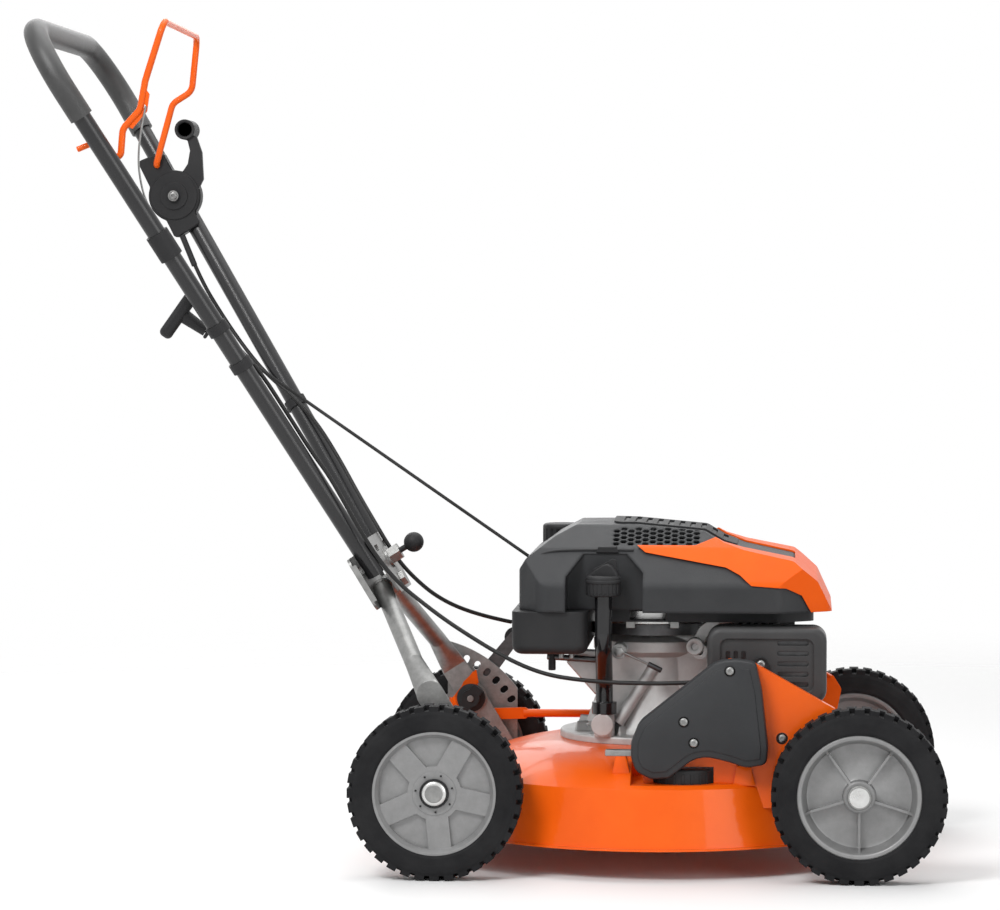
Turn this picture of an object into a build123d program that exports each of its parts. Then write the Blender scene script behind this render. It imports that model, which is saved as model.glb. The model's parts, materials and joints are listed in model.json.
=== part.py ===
from build123d import *
import os
from math import atan2, cos, degrees, hypot, radians, sin, tan

# Push lawn mower with a petrol engine, a stamped steel deck, four wheels on two
# coupled height cranks and a tilting, swivelling handle.
# Frame: millimetres, +X forward, +Y to the operator's left, +Z up.  The origin
# lies on the ground below the blade shaft, midway between the two axles.

# ---- Driving dimensions ------------------------------------------------------
wheel_radius = 100.0
tyre_width = 45.0
track = 470.0                 # between wheel centre planes
wheelbase = 483.5
running_gap = 0.05            # radial clearance of shafts in bores
seat_gap = 0.3                # between moving faces that pass each other

# Height cranks
crank_reach = 59.25           # axle ahead of its crank pivot
rear_pivot_drop = 13.0        # rear pivot below its axle
front_pivot_rise = 45.0       # front pivot above its axle
crank_rod_radius = 8.0
axle_radius = 6.0
arm_inner = 202.0             # distance of a wheel arm's inner face from the middle
arm_thickness = 5.0
arm_boss_radius = 14.0
link_arm_rise = 44.0          # link rod joint above the crank pivot
link_pin_radius = 4.0
latch_radius = 139.0          # latch pin from the rear crank pivot
latch_angle = 51.9
latch_pitch = 6.26
slots_back = 2                # latch slots behind and ahead of the resting one
slots_ahead = 3

# Wheels
rim_radius = 71.0
carcass_radius = 94.5
lug_count = 36
lug_width = 11.0
tread_groove = 1.6
hub_radius = 15.0
rear_spokes = 5
front_ribs = 5

# Deck
deck_top = 141.0
deck_flat_radius = 109.0
crease_radius = 235.0
crease_height = 104.0
rim_height = 35.0
deck_radius = 247.5
deck_wall = 2.5
drum_radius = 39.0
drum_place = (41.0, -177.0)
drum_top = 125.0
drum_clearance = 2.0
pocket_floor = 108.0

# Engine
flange_radius = 112.0
flange_thickness = 9.0
shaft_radius = 12.5
blade_height = 46.0
blade_tip_clearance = 12.5     # from the blade's tip to the deck's outer rim
blade_length = 2 * (deck_radius - blade_tip_clearance)
blade_width = 52.0
blade_thickness = 4.0
shroud_bottom = 300.0
shroud_half_width = 155.0
shroud_wall = 3.0
accent_thickness = 2.2
guard_outer = 160.0           # muffler guard's outer face from the middle
cover_outer = 226.0           # drive cover's outer face from the middle
bracket_outer = 199.0
bracket_thickness = 3.0

# Handle
slope = radians(58.8)         # handle plane above the horizontal
tube_radius = 11.0
tube_wall = 1.5
tube_plane = -105.0           # handle plane's offset along its normal
tube_foot_u = 458.0           # lower end of the handle tube, along the slope
tube_foot_y = 70.0
tube_spread = 0.2316          # sideways rise of each leg along the slope
grip_bar_u = 1204.0
grip_end_u = 1084.0
handle_corner = 72.0
grip_radius = 14.0
strut_plane = -110.3
strut_top_u = 439.0
strut_top_y = 41.0
tilt_x, tilt_z = -190.0, 101.0     # handle tilt pivot
foot_inner = 164.0            # strut foot's inner face from the middle
foot_thickness = 3.0
foot_width = 32.0
lock_x, lock_z = -232.5, 167.4     # lock bolt of the handle tilt
lock_radius = 4.0
swivel_u = 437.0
swivel_range = 10.0
plunger_u = 467.0
plunger_radius = 3.5
bail_x, bail_z = -625.0, 828.0
bail_radius = 4.0
control_x, control_z = -603.7, 789.6
cable_radius = 2.5
rope_radius = 2.0

# ---- Derived places ----------------------------------------------------------
axle_x = wheelbase / 2
half_track = track / 2
tyre_inner = half_track - tyre_width / 2
tyre_outer = half_track + tyre_width / 2
rear_pivot = (-axle_x - crank_reach, wheel_radius - rear_pivot_drop)
front_pivot = (axle_x - crank_reach, wheel_radius + front_pivot_rise)
link_rear = (rear_pivot[0], rear_pivot[1] + link_arm_rise)
link_front = (front_pivot[0], front_pivot[1] + link_arm_rise)
flange_top = deck_top + flange_thickness
rope_start = (-523.0, -113.0, 625.3)
rope_end = (-146.0, -60.0, 358.5)
SLOPE_UP = Vector(-cos(slope), 0, sin(slope))
SLOPE_OUT = Vector(sin(slope), 0, cos(slope))


def side_plane(y):
    """Plane whose local axes are the part's X and Z, facing -Y."""
    return Plane(origin=(0, y, 0), x_dir=(1, 0, 0), z_dir=(0, -1, 0))


def span(side, inner, outer):
    """Low and high Y of a slab between two distances from the middle."""
    return (inner, outer) if side > 0 else (-outer, -inner)


def handle_plane(out):
    """Plane along the handle: local x is the part's Y, local y runs up the slope."""
    return Plane(origin=SLOPE_OUT * out, x_dir=(0, 1, 0), z_dir=SLOPE_OUT)


def on_handle(y, up, out):
    """Point from its sideways place, its height up the slope and its offset."""
    return SLOPE_UP * up + SLOPE_OUT * out + Vector(0, y, 0)


def leg_y(up):
    """Distance of a handle leg's centre from the middle at a height up the slope."""
    return tube_foot_y + (up - tube_foot_u) * tube_spread


def rod(start, end, radius):
    """Straight round bar between two points, made where it stands."""
    start, end = Vector(*start), Vector(*end)
    axis = end - start
    with BuildPart() as bar:
        with BuildSketch(Plane(origin=start, z_dir=axis.normalized())):
            Circle(radius)
        extrude(amount=axis.length)
    return bar.part


def arm_outline(p, q, radius_p, radius_q):
    """Outline of a flat arm: the hull of two round ends."""
    with BuildSketch() as outline:
        with Locations(p):
            Circle(radius_p)
        with Locations(q):
            Circle(radius_q)
        make_hull()
    return outline.sketch


def arc_slot(centre, reach, start, size, width):
    """Curved slot about a centre: its start and sweep in degrees."""
    ends = [radians(start), radians(start + size)]
    with BuildSketch() as slot:
        with BuildLine():
            inner = CenterArc(centre, reach - width / 2, start, size)
            outer = CenterArc(centre, reach + width / 2, start, size)
            Line(inner @ 0, outer @ 0)
            Line(inner @ 1, outer @ 1)
        make_face()
        for turn in ends:
            with Locations((centre[0] + reach * cos(turn), centre[1] + reach * sin(turn))):
                Circle(width / 2)
    return slot.sketch


def save(part, name):
    part.label = name
    export_step(part, f"parts/{name}.step")
    print(f"{name}: {len(part.solids())} solid(s), {part.volume / 1000:.1f} cm3")


def route_radii(points):
    """Largest smooth bend radius at each inner point of a cord's route."""
    radii = []
    for before, here, after in zip(points, points[1:], points[2:]):
        run_in = Vector(*here) - Vector(*before)
        run_out = Vector(*after) - Vector(*here)
        turn = radians(run_in.get_angle(run_out))
        radii.append(0.45 * min(run_in.length, run_out.length) / tan(turn / 2))
    return radii


def cord(name, points, radius):
    """Round cord along straight runs joined by tangent arcs."""
    radii = route_radii(points)
    with BuildPart() as tube:
        with BuildLine() as route:
            FilletPolyline(*points, radius=radii)
        start = route.line.edges()[0]
        with BuildSketch(Plane(origin=start @ 0, z_dir=start % 0)):
            Circle(radius)
        sweep(path=route.line)
    length = sum(edge.length for edge in route.line.edges())
    print(f"{name}: length {length:.0f}, radii {[round(r) for r in radii]},",
          f"volume ratio {tube.part.volume / (3.14159265 * radius**2 * length):.4f}")
    return tube.part


os.makedirs("parts", exist_ok=True)

# ---- Deck --------------------------------------------------------------------
pocket_length = 120.0
pocket_width = 126.0
pocket_inner = 134.0


def deck_form(inset, floor):
    """Solid filling the deck, pulled in from its outer skin by the inset."""
    shoulder = (172.0 - inset * 0.4, 131.0 - inset)
    with BuildPart() as form:
        with BuildSketch(Plane.XZ):
            with BuildLine():
                top = deck_top - inset
                Line((0, floor), (0, top))
                Line((0, top), (deck_flat_radius, top))
                ThreePointArc((deck_flat_radius, top), shoulder, (crease_radius - inset, crease_height))
                Line((crease_radius - inset, crease_height), (deck_radius - inset, rim_height))
                Line((deck_radius - inset, rim_height), (deck_radius - inset, floor - 0.001))
                Line((deck_radius - inset, floor - 0.001), (0, floor))
            make_face()
        revolve(axis=Axis.Z)
        with BuildSketch(Plane.XY.offset(pocket_floor - inset)):
            with Locations((drum_place[0], -pocket_inner - pocket_width / 2 + inset)):
                RectangleRounded(pocket_length + 2 * inset, pocket_width + 2 * inset, 10 + inset)
        extrude(amount=deck_top, mode=Mode.SUBTRACT)
    return form.part


deck_solid = deck_form(0, rim_height)
with BuildPart() as deck:
    add(deck_solid)
    add(deck_form(deck_wall, rim_height - 1), mode=Mode.SUBTRACT)
    with BuildSketch(Plane.XY.offset(rim_height)):
        Circle(deck_radius + 2)
        Circle(deck_radius - deck_wall, mode=Mode.SUBTRACT)
    extrude(amount=2.5)
    with BuildSketch(Plane.XY.offset(deck_top - 2 * deck_wall)):
        Circle(60)
    extrude(amount=4 * deck_wall, mode=Mode.SUBTRACT)
save(deck.part, "deck")

# ---- Rear brackets: folded sheets that hold the crank rod and the strut feet -----
hook_inner, hook_outer = 156.0, 160.0
clevis_inner, clevis_outer = 168.5, 172.0
web_bottom, web_top = 74.0, 78.0


def rear_bracket(side):
    """Inner wall with the hook and rod bearing, floor web and outer pivot lug."""
    low, high = span(side, hook_inner, hook_outer)
    with BuildPart() as bracket:
        with BuildSketch(side_plane(high)):
            with BuildLine():
                Polyline((-296, 73), (-150, 73), (-150, 112), (-184, 112), (-205, 118),
                         (-232, 150), (-240.5, 160), (-241, 166), (-233, 176.5),
                         (-227, 169), (-220.5, 172), (-230, 200.5), (-256, 167),
                         (-252, 140), (-284, 103), (-301, 101), close=True)
            make_face()
            with Locations(rear_pivot):
                Circle(14)
        extrude(amount=high - low)
        with BuildSketch(side_plane(high)):
            with Locations(rear_pivot):
                Circle(crank_rod_radius + running_gap)
        extrude(amount=high - low, mode=Mode.SUBTRACT)
        low, high = span(side, hook_inner, clevis_outer)
        with BuildSketch(side_plane(high)):
            with Locations(((-225 - 198) / 2, (web_bottom + web_top) / 2)):
                Rectangle(27, web_top - web_bottom)
        extrude(amount=high - low)
        low, high = span(side, clevis_inner, clevis_outer)
        with BuildSketch(side_plane(high)):
            add(arm_outline((tilt_x, tilt_z), (-212, web_bottom + 6), 13, 6))
        extrude(amount=high - low)
        low, high = span(side, foot_inner + foot_thickness, clevis_outer)
        with BuildSketch(side_plane(high)):
            with Locations((tilt_x, tilt_z)):
                Circle(5)
        extrude(amount=high - low, mode=Mode.SUBTRACT)
        add(deck_solid, mode=Mode.SUBTRACT)
    return bracket.part


save(rear_bracket(1), "rear_bracket_left")
save(rear_bracket(-1), "rear_bracket_right")

# ---- Front brackets: orange side plates that carry the front crank --------------
cover_points = [(-14, 169.4), (72.7, 240), (99, 249.5), (121.8, 244), (126.4, 225.5), (136.2, 174),
                (139.2, 147), (137.2, 135.8), (108.4, 129), (61.6, 132), (48, 129), (16, 116.7)]


def drum_form(grow):
    """Envelope of the round drive housing that stands in the deck's pocket."""
    with BuildPart() as form:
        with BuildSketch(Plane.XY.offset(pocket_floor)):
            with Locations(drum_place):
                Circle(drum_radius + grow)
        extrude(amount=drum_top - pocket_floor + grow)
    return form.part


def front_bracket(side):
    """Upright side plate with the front crank's bearing and a folded top edge."""
    low, high = span(side, bracket_outer - bracket_thickness, bracket_outer)
    bearing_x, bearing_z = front_pivot
    with BuildPart() as bracket:
        with BuildSketch(side_plane(high)):
            with BuildLine():
                Polyline((bearing_x - 187.5, bearing_z - 45), (bearing_x - 187.5, bearing_z + 31),
                         (bearing_x - 112.5, bearing_z + 98), (bearing_x - 88.5, bearing_z + 107.5),
                         (bearing_x - 64.5, bearing_z + 103), (bearing_x + 33.5, bearing_z + 49),
                         (bearing_x + 43.5, bearing_z + 33), (bearing_x + 33.5, bearing_z - 15),
                         (bearing_x - 32.5, bearing_z - 65), (bearing_x - 122.5, bearing_z - 65), close=True)
            make_face()
            fillet(vertices().filter_by(lambda v: v.Y > bearing_z - 25), radius=8)
        extrude(amount=high - low)
        with BuildSketch(side_plane(high)):
            with Locations(front_pivot):
                Circle(crank_rod_radius + running_gap)
        extrude(amount=high - low, mode=Mode.SUBTRACT)
        low, high = span(side, bracket_outer - 14, bracket_outer)
        with BuildSketch(side_plane(high)):
            with BuildLine():
                Polyline((bearing_x + 31.5, bearing_z + 50), (bearing_x - 64.5, bearing_z + 104),
                         (bearing_x - 65.5, bearing_z + 102), (bearing_x + 30.5, bearing_z + 48), close=True)
            make_face()
        extrude(amount=high - low)
        add(deck_solid, mode=Mode.SUBTRACT)
        if side < 0:
            add(drum_form(drum_clearance), mode=Mode.SUBTRACT)
    return bracket.part


save(front_bracket(-1), "drive_bracket")
save(front_bracket(1), "front_bracket")

# ---- Height adjustment: two cranks, a link rod, a latch sector and its lever ------
sector_inner, sector_outer = 186.0, 189.0
lever_inner, lever_outer = 191.0, 194.5
link_inner, link_outer = 170.0, 174.0
link_arm_outer = 179.0
axle_end = tyre_outer - 3.5
cap_end = tyre_outer - 0.2
slot_length, slot_width = 11.0, 7.5

with BuildPart() as sector_plate:
    with BuildSketch(side_plane(sector_outer)):
        with Locations(rear_pivot):
            Circle(latch_radius + 14)
        with Locations((-231, 150)):
            Rectangle(108, 180, mode=Mode.INTERSECT)
        with Locations((-278, 190)):
            Rectangle(28, 150, mode=Mode.SUBTRACT)
        with Locations((-231, 70)):
            Rectangle(110, 20, mode=Mode.SUBTRACT)
        for step in range(-slots_ahead, slots_back + 1):
            turn = radians(latch_angle + step * latch_pitch)
            centre = (rear_pivot[0] + latch_radius * cos(turn), rear_pivot[1] + latch_radius * sin(turn))
            with Locations(Location(centre, degrees(turn))):
                SlotOverall(slot_length, slot_width, mode=Mode.SUBTRACT)
    extrude(amount=sector_outer - sector_inner)
    with BuildSketch(side_plane(sector_inner)):
        with Locations((-272, 94), (-240, 94)):
            Circle(6)
    extrude(amount=sector_inner - hook_outer)
save(sector_plate.part, "sector_plate")


def height_crank(pivot, cap_radius, dome):
    """Cross rod with two wheel arms, their stub axles and caps, and the link arm."""
    x, z = pivot
    axle = (x + crank_reach, wheel_radius)
    link = (x, z + link_arm_rise)
    with BuildPart() as crank:
        add(rod((x, -arm_inner - 1, z), (x, arm_inner + 1, z), crank_rod_radius))
        for side in (-1, 1):
            low, high = span(side, arm_inner, arm_inner + arm_thickness)
            with BuildSketch(side_plane(high)):
                add(arm_outline(pivot, axle, arm_boss_radius, arm_boss_radius))
            extrude(amount=high - low)
            add(rod((axle[0], side * arm_inner, axle[1]), (axle[0], side * axle_end, axle[1]), axle_radius))
            low, high = span(side, axle_end, cap_end)
            with BuildSketch(side_plane(high)):
                with Locations(axle):
                    Circle(cap_radius)
            extrude(amount=high - low)
            rim = edges().filter_by(GeomType.CIRCLE).sort_by(Axis.Y)
            chamfer(rim[0] if side < 0 else rim[-1], length=dome)
        with BuildSketch(side_plane(link_arm_outer)):
            add(arm_outline(pivot, link, 12, 9))
        extrude(amount=link_arm_outer - link_outer - 1)
        add(rod((link[0], link_inner - 0.4, link[1]), (link[0], link_outer + 2, link[1]), link_pin_radius))
    return crank.part


save(height_crank(rear_pivot, 12.5, 2.8), "rear_axle")
save(height_crank(front_pivot, 14.0, 1.0), "front_axle")

lever_reach = 194.0
lever_end = (rear_pivot[0] + lever_reach * cos(radians(latch_angle)),
             rear_pivot[1] + lever_reach * sin(radians(latch_angle)))
with BuildPart() as height_lever:
    with BuildSketch(side_plane(lever_outer)):
        add(arm_outline(rear_pivot, lever_end, 15, 7.5))
        with Locations(rear_pivot):
            Circle(crank_rod_radius + running_gap, mode=Mode.SUBTRACT)
    extrude(amount=lever_outer - lever_inner)
    turn = radians(latch_angle)
    pin = (rear_pivot[0] + latch_radius * cos(turn), rear_pivot[1] + latch_radius * sin(turn))
    with BuildSketch(side_plane(lever_inner)):
        with Locations(pin):
            Circle(slot_width / 2 - seat_gap)
    extrude(amount=lever_inner - sector_outer - seat_gap)
save(height_lever.part, "height_lever")

with BuildPart() as height_knob:
    with BuildSketch(side_plane(lever_outer + 12)):
        with Locations(lever_end):
            Circle(12.5)
    extrude(amount=12)
    fillet(height_knob.edges().filter_by(GeomType.CIRCLE).group_by(Axis.Y)[-1], radius=5)
save(height_knob.part, "height_knob")

link_bar_start, link_bar_end = (-168.0, 147.3), (134.0, 148.0)
link_flat_bend = (-208.0, 146.0)
link_middle = (link_inner + link_outer) / 2
with BuildPart() as link_rod:
    with BuildSketch(side_plane(link_outer)):
        add(arm_outline(link_rear, link_flat_bend, 9, 7))
        add(arm_outline(link_flat_bend, link_bar_start, 7, 7))
        add(arm_outline((160, 172), link_front, 6, 9))
        with Locations(link_rear, link_front):
            Circle(link_pin_radius + running_gap, mode=Mode.SUBTRACT)
    extrude(amount=link_outer - link_inner)
    add(rod((link_bar_start[0], link_middle, link_bar_start[1]),
            (link_bar_end[0], link_middle, link_bar_end[1]), 5))
    add(rod((link_bar_end[0] - 3, link_middle, link_bar_end[1] - 2), (162, link_middle, 174), 5))
save(link_rod.part, "link_rod")

# ---- Wheels: made at the origin with the outer face towards -Y --------------------
barrel_half = tyre_width / 2 - 2
dish_depth = 12.5
hub_inner_end = -(half_track - tyre_inner) - 3
hub_outer_end = axle_end - half_track - seat_gap


def ring(inner, outer, start, end):
    """Washer about the wheel axis between two places along it, outwards positive."""
    with BuildPart() as washer:
        with BuildSketch(side_plane(-start)):
            Circle(outer)
            Circle(inner, mode=Mode.SUBTRACT)
        extrude(amount=end - start)
    return washer.part


def barrel():
    """Rim barrel that the tyre sits on, with a lip at both ends."""
    with BuildPart() as drum:
        with BuildSketch(Plane.XY):
            with BuildLine():
                Polyline((rim_radius, -barrel_half), (rim_radius, barrel_half), (rim_radius - 3, barrel_half),
                         (rim_radius - 7, barrel_half - 5), (rim_radius - 7, 5 - barrel_half),
                         (rim_radius - 3, -barrel_half), close=True)
            make_face()
        revolve(axis=Axis.Y)
    return drum.part


def rear_rim():
    """Shallow disc with five broad raised spokes round a hub ring."""
    disc_start = barrel_half - dish_depth - 2
    disc_end = barrel_half - dish_depth + 2
    rib_start = hub_inner_end + 6
    with BuildPart() as rim:
        add(barrel())
        add(ring(hub_radius - 1, rim_radius - 6, disc_start, disc_end))
        with BuildSketch(side_plane(-disc_end)):
            Circle(31)
            with PolarLocations(48, rear_spokes, start_angle=60):
                Rectangle(46, 26)
            Circle(rim_radius - 6, mode=Mode.INTERSECT)
            Circle(hub_radius, mode=Mode.SUBTRACT)
        extrude(amount=5)
        add(ring(hub_radius, 25, disc_start, disc_end + 6))
        with BuildSketch(side_plane(-rib_start)):
            with PolarLocations(40, rear_spokes, start_angle=60):
                Rectangle(51, 3)
        extrude(amount=disc_start - rib_start)
        add(ring(axle_radius + running_gap, hub_radius, hub_inner_end, hub_outer_end))
    return rim.part


def front_rim():
    """Deep dish with thin radial ribs between the hub and the barrel."""
    disc_start, disc_end = -barrel_half + 3, -barrel_half + 7
    with BuildPart() as rim:
        add(barrel())
        add(ring(hub_radius, rim_radius - 6, disc_start, disc_end))
        with BuildSketch(side_plane(-disc_start)):
            with PolarLocations((18 + rim_radius - 6) / 2, front_ribs, start_angle=48):
                Rectangle(rim_radius - 6 - 18, 3.2)
        extrude(amount=barrel_half - 5 - disc_start)
        add(ring(axle_radius + running_gap, 19, hub_inner_end, hub_outer_end))
    return rim.part


def tyre():
    """Carcass with two staggered rows of flat-faced tread blocks."""
    half_pitch = radians(180 / lug_count)
    inner_row_radius = (wheel_radius - lug_width / 2 * sin(half_pitch)) / cos(half_pitch)
    edge = tyre_width / 2 - 1.9
    with BuildPart() as body:
        with BuildSketch(Plane.XY):
            with BuildLine():
                Polyline((rim_radius, 1.7 - tyre_width / 2), (74, -22.3), (84, -tyre_width / 2), (91, -21.8),
                         (carcass_radius, -edge), (carcass_radius, edge), (91, 21.8), (84, tyre_width / 2),
                         (74, 22.3), (rim_radius, tyre_width / 2 - 1.7), close=True)
            make_face()
        revolve(axis=Axis.Y)
        rows = ((tread_groove / 2, edge, wheel_radius, 0), (-edge, -tread_groove / 2, inner_row_radius, 1))
        for start, end, radius, stagger in rows:
            root = carcass_radius - 2
            first_angle = stagger * degrees(half_pitch)
            with BuildSketch(side_plane(-start)):
                with PolarLocations((root + radius) / 2, lug_count, start_angle=first_angle):
                    Rectangle(radius - root, lug_width)
            extrude(amount=end - start)
    return body.part


shapes = {"rear_rim": rear_rim(), "front_rim": front_rim(), "tyre": tyre()}
for end, x in (("rear", -axle_x), ("front", axle_x)):
    for side, label in ((-1, "right"), (1, "left")):
        for kind, shape in (("rim", shapes[end + "_rim"]), ("tyre", shapes["tyre"])):
            placed = shape if side < 0 else shape.mirror(Plane.XZ)
            save(placed.moved(Location((x, side * half_track, wheel_radius))), f"{end}_{kind}_{label}")

# ---- Blade and crankshaft ---------------------------------------------------------
shaft_top = 350.0
with BuildPart() as crankshaft:
    with BuildSketch(Plane.XY.offset(blade_height + 10)):
        Circle(shaft_radius)
    extrude(amount=shaft_top - blade_height - 10)
save(crankshaft.part, "crankshaft")

with BuildPart() as blade_adapter:
    with BuildSketch(Plane.XY.offset(blade_height + blade_thickness)):
        Circle(30)
    extrude(amount=6)
    with BuildSketch(Plane.XY.offset(blade_height + blade_thickness + 6)):
        Circle(20)
    extrude(amount=26)
    with BuildSketch(Plane.XY.offset(blade_height)):
        Circle(5)
    extrude(amount=20, mode=Mode.SUBTRACT)
    with BuildSketch(Plane.XY.offset(blade_height + 10)):
        Circle(shaft_radius)
    extrude(amount=40, mode=Mode.SUBTRACT)
save(blade_adapter.part, "blade_adapter")

with BuildPart() as blade:
    with BuildSketch(Plane.XY.offset(blade_height)):
        RectangleRounded(blade_length, blade_width, 6)
        Circle(5, mode=Mode.SUBTRACT)
    extrude(amount=blade_thickness)
    for side in (-1, 1):
        with BuildSketch(Plane(origin=(side * (blade_length / 2 - 45), 0, blade_height),
                               x_dir=(0, 1, 0), z_dir=(1, 0, 0))):
            back = -side * blade_width / 2
            with BuildLine():
                Polyline((back, 0), (back, blade_thickness), (back - side * 14, 17), (back - side * 14, 13),
                         close=True)
            make_face()
        extrude(amount=30, both=True)
        with Locations((side * (blade_length / 2 - 50), side * blade_width / 2, blade_height)):
            Box(90, 9, 5, rotation=(side * 25, 0, 0), mode=Mode.SUBTRACT)
save(blade.part, "blade")

with BuildPart() as blade_bolt:
    with BuildSketch(Plane.XY.offset(blade_height - 3)):
        Circle(17)
    extrude(amount=3)
    with BuildSketch(Plane.XY.offset(blade_height - 9)):
        RegularPolygon(9, 6)
    extrude(amount=6)
    with BuildSketch(Plane.XY.offset(blade_height)):
        Circle(4.9)
    extrude(amount=10)
save(blade_bolt.part, "blade_bolt")

# ---- Engine block -------------------------------------------------------------------
block_top = 285.0
filler_foot = (-55.0, -92.0, 176.0)
filler_top = (-54.0, -140.0, 322.0)
drain_place = (-57.0, 164.0)
cover_boss = (-38.0, 249.0)
lug_boss = (57.0, 250.0)
head_start, head_end = 96.0, 150.0

with BuildPart() as crankcase:
    with BuildSketch(Plane.XY.offset(deck_top)):
        Circle(flange_radius)
    extrude(amount=flange_thickness)
    fillet(crankcase.edges().group_by(Axis.Z)[-1], radius=3)
    with BuildSketch(Plane.XZ):
        with BuildLine():
            Polyline((0, flange_top - 1), (86, flange_top - 1), (80, flange_top + 10), (64, 205),
                     (64, 240), (72, 246), (72, 258), (58, 266), (58, block_top), (0, block_top), close=True)
        make_face()
    revolve(axis=Axis.Z)
    with BuildSketch(Plane.XY.offset(flange_top - 1)):
        with PolarLocations(72, 8, start_angle=22.5):
            Rectangle(56, 6)
    extrude(amount=62, taper=14)
    with BuildSketch(Plane.YZ.offset(20)):
        with Locations((0, 226)):
            RectangleRounded(112, 96, 14)
    extrude(amount=head_start - 20)
    with BuildSketch(Plane.XY.offset(flange_top - 1)):
        with Locations((filler_foot[0], filler_foot[1])):
            Circle(12)
        with Locations((filler_foot[0], filler_foot[1] + 20)):
            Rectangle(11, 40)
    extrude(amount=filler_foot[2] - flange_top + 1)
    with BuildSketch(side_plane(-82)):
        with Locations(drain_place):
            Circle(13)
    extrude(amount=24)
    add(rod((cover_boss[0], -50, cover_boss[1]), (cover_boss[0], -92, cover_boss[1]), 9))
    add(rod((lug_boss[0], -50, lug_boss[1]), (lug_boss[0], -96, lug_boss[1]), 9.3))
    add(rod((lug_boss[0], -80, lug_boss[1]), (lug_boss[0], -97, lug_boss[1]), 4), mode=Mode.SUBTRACT)
    add(rod((3, -62, 230), (-40, -82, 163), 7))
    with BuildSketch(Plane.XY.offset(deck_top)):
        with PolarLocations(98, 4, start_angle=45):
            Circle(4.6)
    extrude(amount=flange_thickness + 1, mode=Mode.SUBTRACT)
    with BuildSketch(Plane.XY.offset(deck_top)):
        Circle(shaft_radius + running_gap)
    extrude(amount=block_top, mode=Mode.SUBTRACT)
save(crankcase.part, "crankcase")

with BuildPart() as cylinder_head:
    with BuildSketch(Plane.YZ.offset(head_start)):
        with Locations((0, 230)):
            RectangleRounded(124, 104, 12)
    extrude(amount=head_end - head_start)
    with BuildSketch(Plane.XZ) as fin_gaps:
        with Locations((0, 0)):
            for index in range(5):
                with Locations((head_start + 8 + index * 9, 230)):
                    Rectangle(4.5, 120)
    extrude(amount=80, both=True, mode=Mode.SUBTRACT)
    with BuildSketch(Plane.YZ.offset(head_start)):
        with Locations((0, 230)):
            RectangleRounded(100, 80, 10)
    extrude(amount=head_end - head_start)
    with BuildSketch(Plane.YZ.offset(head_end)):
        with Locations((0, 230)):
            RectangleRounded(96, 84, 16)
    extrude(amount=24, taper=6)
save(cylinder_head.part, "cylinder_head")

with BuildPart() as spark_plug:
    add(rod((head_end + 24, 22, 248), (head_end + 34, 22, 248), 9))
    add(rod((head_end + 34, 22, 248), (head_end + 46, 22, 248), 11))
    add(rod((head_end + 40, 22, 248), (head_end + 40, 58, 252), 4))
save(spark_plug.part, "spark_plug")

# ---- Muffler and its guard ------------------------------------------------------------
guard_left, guard_right = 67.0, 205.0
guard_low, guard_high = 196.0, 284.0
guard_inner = 108.0
guard_middle = ((guard_left + guard_right) / 2, (guard_low + guard_high) / 2)
guard_wall = 2.0
guard_screw = (130.5, 240.0)

with BuildPart() as muffler:
    with BuildSketch(side_plane(-guard_inner)):
        with Locations(guard_middle):
            RectangleRounded(108, 62, 12)
    extrude(amount=guard_outer - guard_inner - 10)
    add(rod((122, -guard_inner, 240), (122, -62, 240), 13))
    add(rod((guard_screw[0], -guard_outer + 10, guard_screw[1]),
            (guard_screw[0], -guard_outer + 4.5, guard_screw[1]), 6))
save(muffler.part, "muffler")

with BuildPart() as muffler_guard:
    with BuildSketch(side_plane(-guard_inner)):
        with Locations(guard_middle):
            RectangleRounded(guard_right - guard_left, guard_high - guard_low, 16)
    extrude(amount=guard_outer - guard_inner)
    fillet(muffler_guard.faces().sort_by(Axis.Y)[0].edges(), radius=7)
    offset(amount=-guard_wall, openings=muffler_guard.faces().sort_by(Axis.Y)[-1])
    with BuildSketch(side_plane(-guard_outer + 1)):
        with Locations(guard_middle):
            RectangleRounded(guard_right - guard_left - 30, guard_high - guard_low - 26, 9)
    extrude(amount=3, mode=Mode.SUBTRACT)
    with BuildSketch(side_plane(-guard_outer + 4.5)):
        with Locations(guard_middle):
            RectangleRounded(guard_right - guard_left - 26, guard_high - guard_low - 22, 10)
    extrude(amount=3.5)
    with BuildSketch(side_plane(-guard_outer + 3)):
        with Locations(guard_middle):
            RectangleRounded(guard_right - guard_left - 30, guard_high - guard_low - 26, 9)
    extrude(amount=8, mode=Mode.SUBTRACT)
    with BuildSketch(side_plane(-guard_outer + 8)):
        with Locations((91, 248), (100, 248), (109, 248)):
            SlotOverall(17, 5, rotation=90)
        with Locations((166, 266), (166, 254), (166, 242), (166, 230), (166, 218)):
            SlotOverall(36, 5)
    extrude(amount=20, mode=Mode.SUBTRACT)
    with BuildSketch(side_plane(-guard_outer + 3)):
        with Locations(guard_screw):
            RegularPolygon(6.5, 6)
    extrude(amount=5)
save(muffler_guard.part, "muffler_guard")

# ---- Engine cowl ------------------------------------------------------------------------
cowl_side = [(-154, 250), (-154, 347), (-145, 361), (-113, 385), (-86, 398.5), (-45, 400), (62, 390),
             (84, 377), (108, 369), (166, 357), (193, 334), (209, 300), (211, 250)]
cowl_plan = [(-154, -116), (-128, -155), (150, -155), (209, -112), (209, 112), (150, 155), (-128, 155),
             (-154, 116)]
cowl_front = [(-155, 240), (-155, 332), (-112, 372), (-62, 397), (0, 402), (62, 397), (112, 372),
              (155, 332), (155, 240)]


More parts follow.
